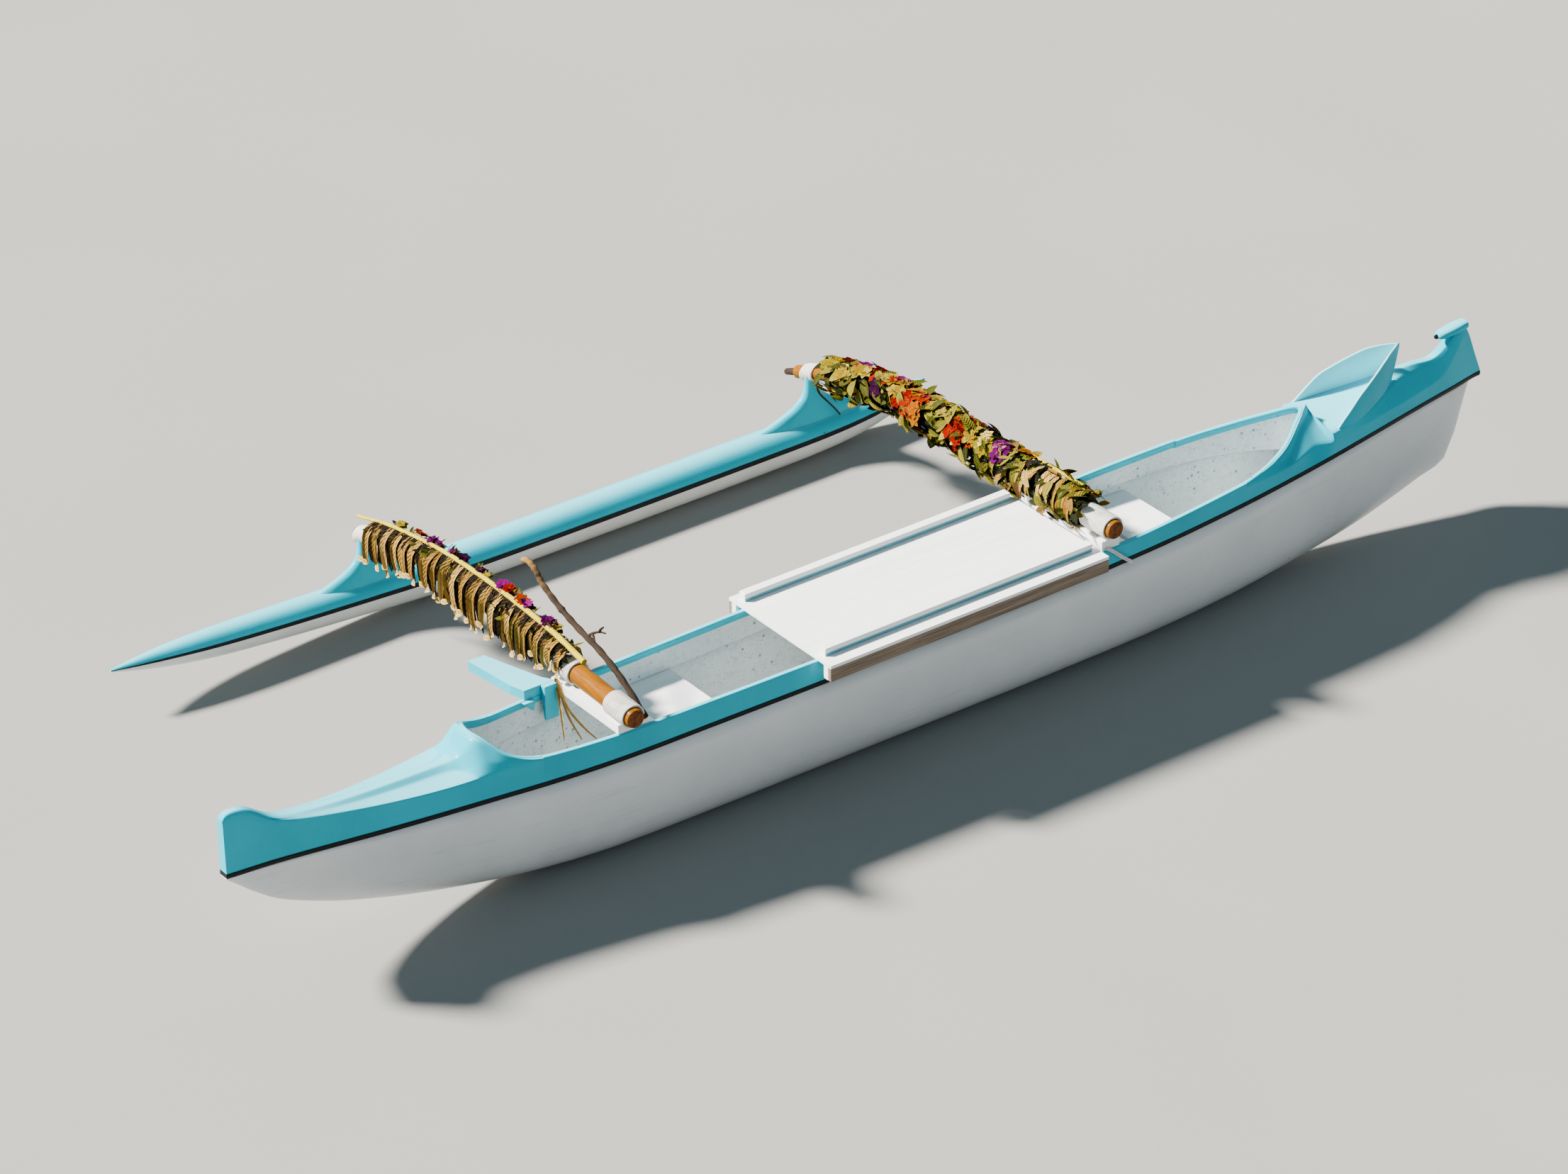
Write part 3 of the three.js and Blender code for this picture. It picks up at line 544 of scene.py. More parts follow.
def shaded_rail_side(name, level):
    """Side of a board rail: white greyed above level as painted shade, greyish turquoise paint below."""
    paint = Paint(f"{name}_side", roughness=0.5)
    brush = paint.noise(*BRUSH)
    # Painted shade: the side's white is greyer than the board's white.
    white = paint.ramp(brush, [(0.3, (0.55, 0.57, 0.58)), (0.65, (0.66, 0.68, 0.69))])
    lower = paint.ramp(brush, [(0.3, (0.05, 0.25, 0.30)), (0.65, (0.10, 0.34, 0.40))])
    body = paint.over(lower, white, paint.axis("Z"), level - 0.002, level + 0.002, 0, 1)
    return paint.done(body, (brush, 0.0006))


def raw_wood():
    """Bare plank edge gone grey-brown: long grain, dark checks and lighter worn streaks."""
    paint = Paint("raw_wood_edge", roughness=0.8)
    grain = paint.noise(60, 6, 0.7, (0.05, 1, 1.8), warp=0.4)
    body = paint.ramp(grain, [(0.25, (0.09, 0.062, 0.043)), (0.5, (0.20, 0.145, 0.10)),
                              (0.75, (0.32, 0.26, 0.195))])
    body = paint.over(body, (0.03, 0.02, 0.014), paint.noise(90, 4, 0.6, (0.03, 1, 2.5)), 0.6, 0.66, 0, 0.7)
    return paint.done(body, (grain, 0.0012), (paint.noise(400, 3), 0.0003), rough=(grain, 0.65, 0.9))


def varnish():
    """Orange varnished timber, grain along the boom, darker knots, thin clear coat."""
    paint = Paint("varnished_boom", roughness=0.4, coat=0.03, gloss=0.05)
    grain = paint.noise(70, 5, 0.62, (1, 0.045, 1), warp=0.3)
    body = paint.ramp(grain, [(0.25, (0.10, 0.025, 0.0)), (0.5, (0.18, 0.06, 0.0)),
                              (0.78, (0.24, 0.095, 0.0))])
    body = paint.over(body, (0.06, 0.014, 0.001), paint.cells(5, (1, 0.5, 1)), 0.05, 0.16, 0.8, 0)
    return paint.done(body, (grain, 0.0006), rough=(paint.noise(30, 4), 0.25, 0.5))


def end_grain():
    """Sawn end: growth rings and a dark stain."""
    paint = Paint("end_grain", roughness=0.75)
    rings = paint.node("TexWave", {"Vector": paint.where(uv=True), "Scale": 5.5, "Distortion": 0.8},
                       wave_type="RINGS", rings_direction="Z").outputs["Fac"]
    body = paint.ramp(rings, [(0.2, (0.06, 0.010, 0.002)), (0.6, (0.26, 0.055, 0.006)),
                              (0.9, (0.46, 0.14, 0.015))])
    body = paint.over(body, (0.045, 0.012, 0.006), paint.noise(2, 5, 0.7, uv=True), 0.42, 0.6, 0, 0.85)
    return paint.done(body, (rings, 0.0008))


def rope_paint():
    paint = Paint("white_rope", roughness=0.85, sheen=0.25)
    fibre = paint.noise(5, 4, 0.7, (28, 260, 1), uv=True)
    body = paint.ramp(fibre, [(0.25, (0.42, 0.38, 0.31)), (0.5, (0.74, 0.71, 0.64)),
                              (0.8, (0.88, 0.87, 0.82))])
    body = paint.over(body, (0.42, 0.34, 0.24), paint.noise(14, 5, 0.7), 0.5, 0.75, 0, 0.5)
    return paint.done(body, (fibre, 0.0009))


def driftwood(name, rubbed):
    """Dark weathered branch: bark ridges, and paler rubbed patches outside rubbed metres to port."""
    paint = Paint(name, roughness=0.85)
    ridge = paint.noise(90, 6, 0.7, (1, 0.12, 0.4), warp=0.6)
    body = paint.ramp(ridge, [(0.3, (0.006, 0.003, 0.001)), (0.55, (0.024, 0.012, 0.0035)),
                              (0.8, (0.07, 0.036, 0.011))])
    port = paint.ragged("Y", 8, 4, 0.5, 0.15)
    body = paint.over(body, (0.25, 0.125, 0.025), port, rubbed, rubbed + 0.15, 0, 1)
    return paint.done(body, (ridge, 0.003))


def leaf_paint(name, stops, vein, rough=0.5):
    """Leaf blade: a colour of its own from its tint, lighter midrib and side veins, dark blotches."""
    paint = Paint(name, roughness=rough, gloss=0.04)
    off = paint.maths("ABSOLUTE", paint.axis("X", "UV"))
    rib = paint.span(off, 0.04, 0.16, 0.75, 0)
    slant = paint.maths("ADD", paint.maths("MULTIPLY", paint.axis("Y", "UV"), 9.0),
                        paint.maths("MULTIPLY", off, -2.2))
    ridge = paint.maths("SINE", paint.maths("MULTIPLY", slant, 6.283))
    pale = paint.blend(paint.tint(), stops[0][1], vein)
    body = paint.over(paint.ramp(paint.tint(), stops), pale, ridge, 0.4, 1.0, 0, 0.22)
    body = paint.blend(rib, body, pale)
    body = paint.over(body, tuple(0.35 * c for c in stops[0][1]), paint.noise(60, 5, 0.7), 0.5, 0.75, 0, 0.5)
    return paint.done(body, (ridge, 0.0007), (rib, 0.0012))


# Flower tints
DARK_RED, RED, FLAME, ORANGE, YELLOW, CREAM, MAGENTA, PURPLE, PLUM = (k / 8 for k in range(9))


def petal_paint():
    """Petals: hue from the flower's tint, warm heart, faint streaks from it outwards."""
    paint = Paint("petals", roughness=0.7, gloss=0.0)
    body = paint.ramp(paint.tint(), [
        (DARK_RED, (0.05, 0.0, 0.0)), (RED, (0.13, 0.0, 0.0)), (FLAME, (0.18, 0.008, 0.0)),
        (ORANGE, (0.22, 0.055, 0.0)), (YELLOW, (0.15, 0.108, 0.0)), (CREAM, (0.5, 0.36, 0.12)),
        (MAGENTA, (0.12, 0.0, 0.085)), (PURPLE, (0.05, 0.0, 0.042)), (PLUM, (0.015, 0.001, 0.015)),
    ])
    streak = paint.noise(9, 3, 0.6, (3, 0.4, 1), uv=True)
    body = paint.over(body, (0.24, 0.11, 0.0), paint.axis("Y", "UV"), 0.0, 0.3, 0.3, 0)
    return paint.done(paint.over(body, (0.25, 0.08, 0.01), streak, 0.5, 0.8, 0, 0.1), (streak, 0.0008))


# The last colour is the painted highlight on faces turned upwards.
TURQUOISE = gelcoat("turquoise_gelcoat", (0.0, 0.40, 0.51), (0.2, 0.55, 0.62), (0.24, 0.66, 0.75))
# Paler copy of the turquoise: painted light for the splash guard's inner faces and upper edges.
TURQUOISE_PAINTED_LIGHT = gelcoat("turquoise_gelcoat_painted_light", (0.22, 0.64, 0.70), (0.5, 0.7, 0.76), (0.5, 0.76, 0.8))
UNDERBODY = hull_paint()
SPECKLED = speckle_paint()
BLACK = black_paint()
WHITE = board_paint()
RAW = raw_wood()
VARNISH = varnish()
END_GRAIN = end_grain()
ROPE_FIBRE = rope_paint()
BARK = driftwood("driftwood_bark", 0.45)
PEG_BARK = driftwood("peg_bark", 9.0)  # too short to be rubbed
GREEN = leaf_paint("green_leaves", [
    (0.0, (0.0015, 0.002, 0.0003)), (0.25, (0.008, 0.011, 0.0005)), (0.5, (0.042, 0.043, 0.002)),
    (0.75, (0.165, 0.14, 0.010)), (0.9, (0.30, 0.21, 0.024)), (1.0, (0.2, 0.05, 0.002)),
], (0.13, 0.12, 0.012))
STRAW = leaf_paint("dry_leaves", [
    (0.0, (0.005, 0.0025, 0.0008)), (0.25, (0.02, 0.009, 0.002)), (0.5, (0.075, 0.034, 0.006)),
    (0.75, (0.32, 0.165, 0.022)), (1.0, (0.62, 0.43, 0.15)),
], (0.24, 0.13, 0.03), rough=0.6)
MIDRIB_SKIN = leaf_paint("leaf_midrib", [(0.0, (0.38, 0.28, 0.003)), (1.0, (0.55, 0.43, 0.012))],
                         (0.6, 0.48, 0.04))
PETALS = petal_paint()


# Hull, decks and float
HULL_STEPS = 16  # points from seam to keel
HULL_SPACING, RIM_SPACING = 45, 60
STRIPE_PROUD = 3
RIM_ROUND = 7  # radius of the rim's two edges
RIM_SLOTS = [0] * 13 + [1] * 4 + [0]  # flecked wall below the turquoise inner leg
LID_Z = 560
SEAM_TO_WALL = 26  # the flecked wall ends this far below the seam


def mirrored(points):
    return [(x, -y, *z) for x, y, *z in reversed(points)]


def hull_ring(x, inset=0.0):
    """Open section from the port seam round the keel to the starboard seam."""
    keel = smooth_at(HULL, 1, x) + inset
    half = seam_half(x) - inset
    power = 2 / at(HULL, 3, x)
    top = seam_z(x) - STRIPE_HALF
    angles = [pi / 2 * i / HULL_STEPS for i in range(HULL_STEPS + 1)]
    port = [(x, KEEL_HALF + (half - KEEL_HALF) * cos(a) ** power, top - (top - keel) * sin(a) ** power)
            for a in angles]
    return port + mirrored(port)


def make_hull():
    rings = [hull_ring(x) for x in stations(HULL, HULL[0][0], HULL[-1][0], HULL_SPACING)]
    hull = show("hull_skin", lofted(rings, closed=False), [UNDERBODY, SPECKLED],
                ("hull_aft", "hull_middle", "hull_fore"), 50)
    modify(hull, "SOLIDIFY", thickness=WALL / 1000, offset=-1, material_offset=1, material_offset_rim=1)
    settle(hull)
    ends = Heap()
    for x in (COCKPIT_AFT, COCKPIT_FORE):
        ring = hull_ring(x, WALL)
        lid = [(x, ring[0][1], LID_Z), *ring, (x, ring[-1][1], LID_Z)]
        ends.add(lid, [list(range(len(lid)))])
    show("bulkheads", ends, [SPECKLED], smooth=False)


def side_strip(xs, section, side, slots=(0,)):
    """Closed strip along one side; section(x) gives (inset from the seam's half width, z) points."""
    rings = [[(x, side * (seam_half(x) - inset), z) for inset, z in section(x)] for x in xs]
    return lofted(rings, slots=slots)


def stripe_section(x):
    low, high = seam_z(x) - STRIPE_HALF, seam_z(x) + STRIPE_HALF
    return [(-1.5, low), (-STRIPE_PROUD, low + 3), (-STRIPE_PROUD, high - 3), (-1.5, high),
            (WALL, high), (WALL, low)]


def gunwale_section(x):
    """Side, rounded rim, turquoise inner leg, then the flecked wall below it."""
    foot, top, leg = seam_z(x) + STRIPE_HALF, rim_z(x), rim_z(x) - RIM_LEG
    inner, wall, low = RIM_BULGE + RIM_WIDTH, WALL + LINER, seam_z(x) - SEAM_TO_WALL
    arc = [(RIM_ROUND * (1 - cos(pi / 8 * i)), RIM_ROUND * (1 - sin(pi / 8 * i))) for i in range(5)]
    return [(0, foot), (3, (foot + top) / 2), (RIM_BULGE, top - RIM_ROUND),
            *((RIM_BULGE + c, top - s) for c, s in arc[1:]), *((inner - s, top - c) for c, s in arc),
            (wall + 5, leg + 8), (wall + 1, leg), (wall, leg - 2), (wall, low),
            (WALL + 1, low), (WALL + 1, foot)]


def make_sides():
    """Seam strips along both sides and round the ends, and the gunwale rims with the cockpit walls."""
    xs = stations(HULL, HULL[0][0], HULL[-1][0], HULL_SPACING)
    rim_xs = stations(RIM, GUNWALE_AFT, GUNWALE_FORE, RIM_SPACING)
    for name, side in SIDES:
        strip = side_strip(xs, stripe_section, side)
        if side > 0:
            for x in (xs[0] - 1.5, xs[-1] + 1.5):
                half, low, high = seam_half(x) + 1.5, seam_z(x) - 9, seam_z(x) + 9
                end = [(x, -half, low), (x, half, low), (x, half, high), (x, -half, high)]
                strip.add(end, [[0, 1, 2, 3]])
        show(f"seam_strip_{name}", strip, [BLACK], [f"seam_stripe_{name}"], 40)
        rim = side_strip(rim_xs, gunwale_section, side, RIM_SLOTS)
        show(f"gunwale_rim_{name}", rim, [TURQUOISE, SPECKLED],
             [f"gunwale_{name}", f"liner_{name}"], 55)


def deck_ring(x, edge, edge_z, foot, foot_z, crest, crest_z):
    half, low = seam_half(x), seam_z(x) + STRIPE_HALF
    port = [(x, half, low), (x, (half + edge) / 2, (low + edge_z) / 2), (x, edge, edge_z), (x, foot, foot_z),
            (x, crest, crest_z)]
    return port + mirrored(port)


def round_outline(rows):
    """Smooth half outline through rows of (x, half width), carried over the centre line at a blunt end."""
    points = [Vector((x, y, 0)) for x, y in rows]
    before, after = (Vector((p.x, -p.y, 0)) if end.y == 0 else end
                     for p, end in ((points[1], points[0]), (points[-2], points[-1])))
    line = [before, *points, after]
    out = [between(*line[i:i + 4], k / 8) for i in range(len(points) - 1) for k in range(8)]
    return [(v.x, max(v.y, 0.0)) for v in out] + [rows[-1]]


# How sharp edge, ridge foot and crest stay, by point of the ring
CREASES = {2: 0.72, 3: 0.45, 4: 0.45}
STEP_CREASE = 0.9


def crease_of(table, width, a, b):
    """How sharp the deck cage's edge between points a and b stays."""
    ring_a, ring_b, k = a // width, b // width, a % width
    if ring_a == ring_b:
        if ring_a in (0, len(table) - 1):
            return 1.0
        return STEP_CREASE if table[ring_a][0] in STEPS else 0.0
    return 1.0 if k in (0, width - 1) else CREASES.get(min(k, width - 1 - k), 0.0)


CUT_BACK = 4  # the opening is cut this far outside its lip
CUTTER_Z = (380, 900)
RAY_Z = 1200  # above the highest deck
OVERLAP = 60  # the opening is cut on this far between the gunwales


def opening_loop(half, open_x):
    """Closed outline of an opening's end, carried on to open_x where the gunwales take over."""
    port = []
    for i, (x, y) in enumerate(half):
        a, b = half[max(i - 1, 0)], half[min(i + 1, len(half) - 1)]
        out = Vector((a[1] - b[1], b[0] - a[0])).normalized() * CUT_BACK
        if y + out.y > 1:
            port.append((x + out.x, y + out.y))
    tip = (half[-1][0] + CUT_BACK, 0.0)
    if open_x > half[0][0]:
        port.reverse()
        tip = (half[0][0] - CUT_BACK, 0.0)
    port.insert(0, (open_x, port[0][1]))
    return port + [tip] + mirrored(port)


def deck_body(name, table, outline, open_x):
    """Smooth deck from the table's cage with the cockpit opening cut out of it."""
    rings = [deck_ring(*row) for row in table]
    deck = show(name, lofted(rings), [TURQUOISE], [name.replace("_shell", "")])
    crease = deck.data.attributes.new("crease_edge", "FLOAT", "EDGE")
    for edge in deck.data.edges:
        crease.data[edge.index].value = crease_of(table, len(rings[0]), *edge.vertices)
    modify(deck, "SUBSURF", levels=3, render_levels=3)
    settle(deck)
    top = BVHTree.FromObject(deck, bpy.context.evaluated_depsgraph_get())
    half = round_outline(outline)
    loop = opening_loop(half, open_x)
    block = lofted([[(x, y, z) for x, y in loop] for z in CUTTER_Z])
    cutter = put("cutter", block.mesh("cutter", None, True))
    sharpen(cutter, 40)
    modify(deck, "BOOLEAN", operation="DIFFERENCE", solver="EXACT", object=cutter)
    settle(deck)
    bpy.data.objects.remove(cutter)
    sharpen(deck, 32)
    return top, half


def deck_height(top, x, y):
    """Height of a deck's surface in the hull frame at (x, y)."""
    down = (TO_ROW.to_3x3() @ Vector((0, 0, -1))).normalized()
    hit = top.ray_cast(TO_ROW @ Vector((x, y, RAY_Z)), down)[0]
    return (TO_ROW.inverted() @ hit).z if hit else None


# Lip and wall of an opening: inward from the outline, rise over the deck
COAMING = [(-13, -5), (-11, -1), (-6, 1.8), (3, 1.8), (7.5, -1), (9, -6), (8, -14), (3, -24), (-2, -RIM_LEG),
           (-3, -RIM_LEG - 2)]
COAMING_SLOTS = [0] * 8 + [1] * 2
WALL_FOOT = (-3, -32)  # foot of the inner wall: inward from the outline, rise over the seam
INSIDE = 1500  # this far from amidships both openings lie round the centre line
PROBE = 9  # the deck's height is taken this far outside the lip


def make_coaming(name, top, half, open_z):
    """Rounded lip round a deck's opening, with the cockpit's inner wall below it."""
    mirror = mirrored(half)
    line = [Vector((*p, 0)) for p in (mirror[:-1] + half if half[0][1] < 0.5 else half + mirror[1:])]
    heights, inward = [], []
    for i, p in enumerate(line):
        step = line[min(i + 1, len(line) - 1)] - line[max(i - 1, 0)]
        across = Vector((step.y, -step.x, 0)).normalized()
        if across.dot(Vector((copysign(INSIDE, p.x), 0, 0)) - p) < 0:
            across = -across
        inward.append(across)
        probe = p - across * PROBE
        heights.append(deck_height(top, probe.x, probe.y) or open_z)
    rings = []
    for i, (p, across) in enumerate(zip(line, inward)):
        near = heights[max(i - 2, 0):i + 3]
        z = sum(near) / len(near)
        rings.append([p + across * out + Vector((0, 0, z + rise)) for out, rise in COAMING]
                     + [p + across * WALL_FOOT[0] + Vector((0, 0, seam_z(p.x) + WALL_FOOT[1]))])
    lip = lofted(rings, closed=False, caps=False, slots=COAMING_SLOTS)
    show(name, lip, [TURQUOISE, SPECKLED], sharp=60)


GUARD_RAKE = 2440  # from here forward the wings' lower edge rises
GUARD_SUNK = 24  # the wings' foot lies this far in the deck
WING = 11  # thickness


def make_guard():
    """V-shaped splash guard with rounded upper edges and a front that rakes forward."""
    for name, side in SIDES:
        rings = []
        for x in spread(GUARD[0][0], GUARD[-1][0], 10):
            half, top = smooth_at(GUARD, 1, x), smooth_at(GUARD, 2, x)
            foot = at(BOW_DECK, 4, x) - GUARD_SUNK
            foot += (top - 14 - foot) * max(0.0, (x - GUARD_RAKE) / (GUARD[-1][0] - GUARD_RAKE)) ** 0.8
            inner, outer = max(half - WING, -2), max(half, 3)
            lean = min(4.0, outer - 3)
            rings.append([(x, side * y, z) for y, z in (
                (inner + 2, foot), (outer, foot), (outer - lean, top - 5), (outer - lean - 1.5, top - 1.5),
                ((inner + outer) / 2 - lean, top), (inner - lean + 1.5, top - 1.5), (inner - lean, top - 5))])
        piece = show(f"splash_guard_{name}", lofted(rings), [TURQUOISE, TURQUOISE_PAINTED_LIGHT],
                     sharp=50)
        # Painted light: the wings' inner faces take the paler turquoise as though sunlit, and their upper
        # edges as a painted highlight.
        for polygon in piece.data.polygons:
            if polygon.normal.y * side < -0.5 or polygon.normal.z > 0.4:
                polygon.material_index = 1


BEAK_ROUND = 0.7  # 1 makes its sections round, 0 square


def squared(value):
    return copysign(abs(value) ** BEAK_ROUND, value)


def make_beak():
    """Rounded cap that reaches back over the bow head's hollow, with a dark plug in its tip."""
    rings = []
    for x in spread(BEAK[0][0], BEAK[-1][0], 6):
        half, low, high = (smooth_at(BEAK, k, x) for k in (1, 2, 3))
        middle, rise = (low + high) / 2, (high - low) / 2
        rings.append([(x, half * squared(c), middle + rise * squared(s)) for c, s in circle(24)])
    show("bow_beak", lofted(rings), [TURQUOISE], sharp=50)
    plug = Heap()
    tube(plug, [(2750, 0, 811), (2736, 0, 811), (2731, 0, 811)], [10, 10, 7], 16)
    show("bow_plug", plug, [BLACK], sharp=50)


def make_decks():
    for end, table, outline, open_x in (("stern", STERN_DECK, COCKPIT_STERN, GUNWALE_AFT + OVERLAP),
                                        ("bow", BOW_DECK, COCKPIT_BOW, GUNWALE_FORE - OVERLAP)):
        make_coaming(f"{end}_coaming", *deck_body(f"{end}_deck_shell", table, outline, open_x), rim_z(open_x))
    make_guard()
    make_beak()


FLOAT_STEPS = 20  # points round each side of a colour band
FLOAT_SPACING = 60
TIP_RADIUS = 4  # the float is no thinner than this


def float_piece(name, low, high, proud, material):
    """Colour band of the float, between two heights given as shares of its radius."""
    rings = []
    for x in stations(FLOAT, FLOAT[0][0], FLOAT[-1][0], FLOAT_SPACING):
        radius = max(smooth_at(FLOAT, 2, x), TIP_RADIUS)
        r, z = radius + proud, FLOAT_Z + smooth_at(FLOAT, 1, x)
        a0, a1 = asin(max(-1, low * radius / r)), asin(min(1, high * radius / r))
        angles = [a0 + (a1 - a0) * k / FLOAT_STEPS for k in range(FLOAT_STEPS + 1)]
        rings.append([(x, FLOAT_Y + side * r * cos(a), z + r * sin(a))
                      for side, arc in ((1, angles), (-1, angles[::-1])) for a in arc])
    show(f"{name}_skin", lofted(rings), [material], [name], 50)


def make_float():
    seam = sin(radians(FLOAT_SEAM_DEG))
    stripe = seam + FLOAT_STRIPE / FLOAT_R
    float_piece("float_lower", -1, seam, 0, UNDERBODY)
    float_piece("float_stripe", seam, stripe, 2, BLACK)
    float_piece("float_upper", stripe, 1, 0, TURQUOISE)
    for name, (x, turn, _) in BOOMS.items():
        centre = x + FLOAT_Y * tan(radians(turn))
        rings = []
        for z in spread(PYLON[0][0], PYLON[-1][0], 7):
            length, width = smooth_at(PYLON, 1, z), smooth_at(PYLON, 2, z)
            rings.append([(centre + length * c, FLOAT_Y + width * s, z) for c, s in circle(48)])
        show(f"pylon_{name}_skin", lofted(rings), [TURQUOISE], [f"pylon_{name}"], 50)


# Booms, ropes and woodwork
BOOM_SPACING = 25
SWELL, SWELL_EVERY = 0.012, 37  # share of the radius, mm for each radian


def make_booms():
    for name, (_, _, end) in BOOMS.items():
        boom, ys = Heap(), stations(BOOM, BOOM[0][0], end, BOOM_SPACING)
        radii = [boom_r(y) * (1 + SWELL * sin(y / SWELL_EVERY)) for y in ys]
        tube(boom, [(0, y, boom_z(y)) for y in ys], radii, 40, cap_slot=1)
        show(f"boom_{name}_timber", boom, [VARNISH, END_GRAIN], [f"boom_{name}"], 50,
             boom_place(name))
    peg = Heap()
    tube(peg, [(0, y, z) for y, z, _ in PEG], [r for _, _, r in PEG], 20)
    show("boom_peg", peg, [PEG_BARK], ["boom_peg_fore"], 50, boom_place("fore"))


TURN_STEPS = 44  # points in each turn of a rope
WOBBLE = 0.5
ROPE_GAP = 0.2


def winding(y0, y1, turns):
    """Points of a rope wound round a boom from y0 to y1."""
    points = []
    for i in range(turns * TURN_STEPS + 1):
        y = y0 + (y1 - y0) * i / (turns * TURN_STEPS)
        angle = 2 * pi * i / TURN_STEPS
        radius = boom_r(y) + ROPE / 2 + ROPE_GAP + WOBBLE * (1 + sin(angle * 3.1 + y)) / 2
        points.append((radius * cos(angle), y, boom_z(y) + radius * sin(angle)))
    return points


# Doubled rope end over the starboard gunwale, from the fore boom to the hull side
ROPE_TAIL = [(-36, -206, 652), (-50, -226, 640), (-46, -250, 622), (-30, -272, 616), (-6, -282, 602),
             (32, -287, 568), (68, -290, 538), (80, -290, 529)]


def rope_tail(heap):
    for shift in (0, 9):
        line = smooth_path([(x + shift, y - 0.2 * shift, z + 0.3 * shift) for x, y, z in ROPE_TAIL])
        tube(heap, line, 4.3, 10, lobes=3, lay=30)
    end = Vector(ROPE_TAIL[-1])
    knot = [end + Vector((x, 0, -0.4 * x)) for x in (-8, -2, 6, 13, 18)]
    tube(heap, knot, [4, 8, 9, 8, 3], 10, lobes=3, lay=30)


def make_lashings():
    for name, spans in LASHINGS.items():
        for side, y0, y1 in spans:
            heap = Heap()
            turns = max(6, round((y1 - y0) / ROPE) - 1)
            tube(heap, winding(y0 + ROPE / 2, y1 - ROPE / 2, turns), ROPE / 2, 10, lobes=3, lay=42)
            if (name, side) == ("fore", "starboard"):
                rope_tail(heap)
            show(f"rope_{name}_{side}", heap, [ROPE_FIBRE], [f"lashing_{name}_{side}"], 75,
                 boom_place(name))


def edge_round(name, width, material, striped):
    """Rounds a carried-over solid's edges and gives it its finish; if striped, its long sides are two-tone:
    white greyed as painted shade above, turquoise below.
    """
    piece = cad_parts[name]
    modify(piece, "WELD", merge_threshold=0.0001)
    modify(piece, "BEVEL", width=width / 1000, segments=3, angle_limit=radians(35), harden_normals=False)
    mesh = piece.data
    for polygon in mesh.polygons:
        polygon.use_smooth = False
    mesh.materials.clear()
    mesh.materials.append(material)
    if striped:
        levels = [v.co.z for v in mesh.vertices]
        mesh.materials.append(shaded_rail_side(piece.name, (min(levels) + max(levels)) / 2))
        for polygon in mesh.polygons:
            polygon.material_index = 1 if abs(polygon.normal.y) > 0.5 else 0


POLE_R, POLE_TAPER = 13.4, 0.18  # radius, and the share of it lost to the tip
POLE_BUMP, POLE_KNOT = 1.1, 2.2  # uneven bark, and a knot at every 37th point
# Solids carried over from the CAD: radius of their edges, finish
CARRIED = [
    (("board_panel", "thwart_aft", "thwart_fore", "seat_aft", "seat_fore"), 4, WHITE),
    (("board_rail_near", "board_rail_far"), 4, WHITE),
    (("board_lip_port", "board_lip_starboard"), 1.5, RAW),
    (("bracket_arm", "bracket_pad"), 6, TURQUOISE),
]


def make_woodwork():
    for names, width, material in CARRIED:
        for name in names:
            edge_round(name, width, material, "rail" in name)
    points = smooth_path([(POLE_X, y, z) for y, z in POLE], 15)
    last = len(points) - 1
    radii = [POLE_R * (1 - POLE_TAPER * i / last) + POLE_BUMP * sin(i * 0.9) for i in range(last)]
    for i in range(20, last, 37):
        radii[i] += POLE_KNOT
    pole = Heap()
    tube(pole, points, radii + [5], 16)
    show("pole_branch", pole, [BARK], ["pole"], 60)


# Leaves and flowers
def draw(*spans):
    return [uniform(*span) for span in spans]


def folded(heap, sections, tint, slot=0):
    """Strip through sections of (centre, half width, fold), pointed along its rib, as a leaf is."""
    count = len(sections) - 1
    points = [centre + half * k + fold * abs(k) for centre, half, fold in sections for k in (-1, 0, 1)]
    uvs = [(k * 0.5, i / count) for i in range(count + 1) for k in (-1, 0, 1)]
    faces = [[a, a + 1, a + 4, a + 3] for i in range(count) for a in (3 * i, 3 * i + 1)]
    heap.add(points, faces, slot, uvs, tint)


def blade(heap, origin, along, normal, length, width, droop, fold, tint, segments=5, slot=0):
    """One leaf or petal: narrow at both ends, folded along its rib, its tip bent away from normal."""
    along = along.normalized()
    normal = (normal - along * normal.dot(along)).normalized()
    side = along.cross(normal)
    sections = []
    for t in (i / segments for i in range(segments + 1)):
        half = width / 2 * max(sin(pi * min(1, 0.12 + 0.88 * t)) ** 0.8, 0.04)
        centre = origin + along * (length * t) - normal * (droop * t * t)
        sections.append((centre, side * half, normal * (fold * half)))
    folded(heap, sections, tint, slot)


def ribbon(heap, points, width, tint, across=(0.12, 1, 0), slot=0):
    """Narrow leaflet along points, its width towards across, folded along its rib and narrow at its tip."""
    last = len(points) - 1
    sections = []
    for i, p in enumerate(points):
        tangent = (points[min(i + 1, last)] - points[max(i - 1, 0)]).normalized()
        side = Vector(across).normalized()
        side = (side - tangent * side.dot(tangent)).normalized()
        half = width / 2 * (0.45 + 0.55 * min(1, i / 2)) * (1 - (i / last) ** 4 * 0.6)
        sections.append((p, side * half, tangent.cross(side) * (half * 0.45)))
    folded(heap, sections, tint, slot)


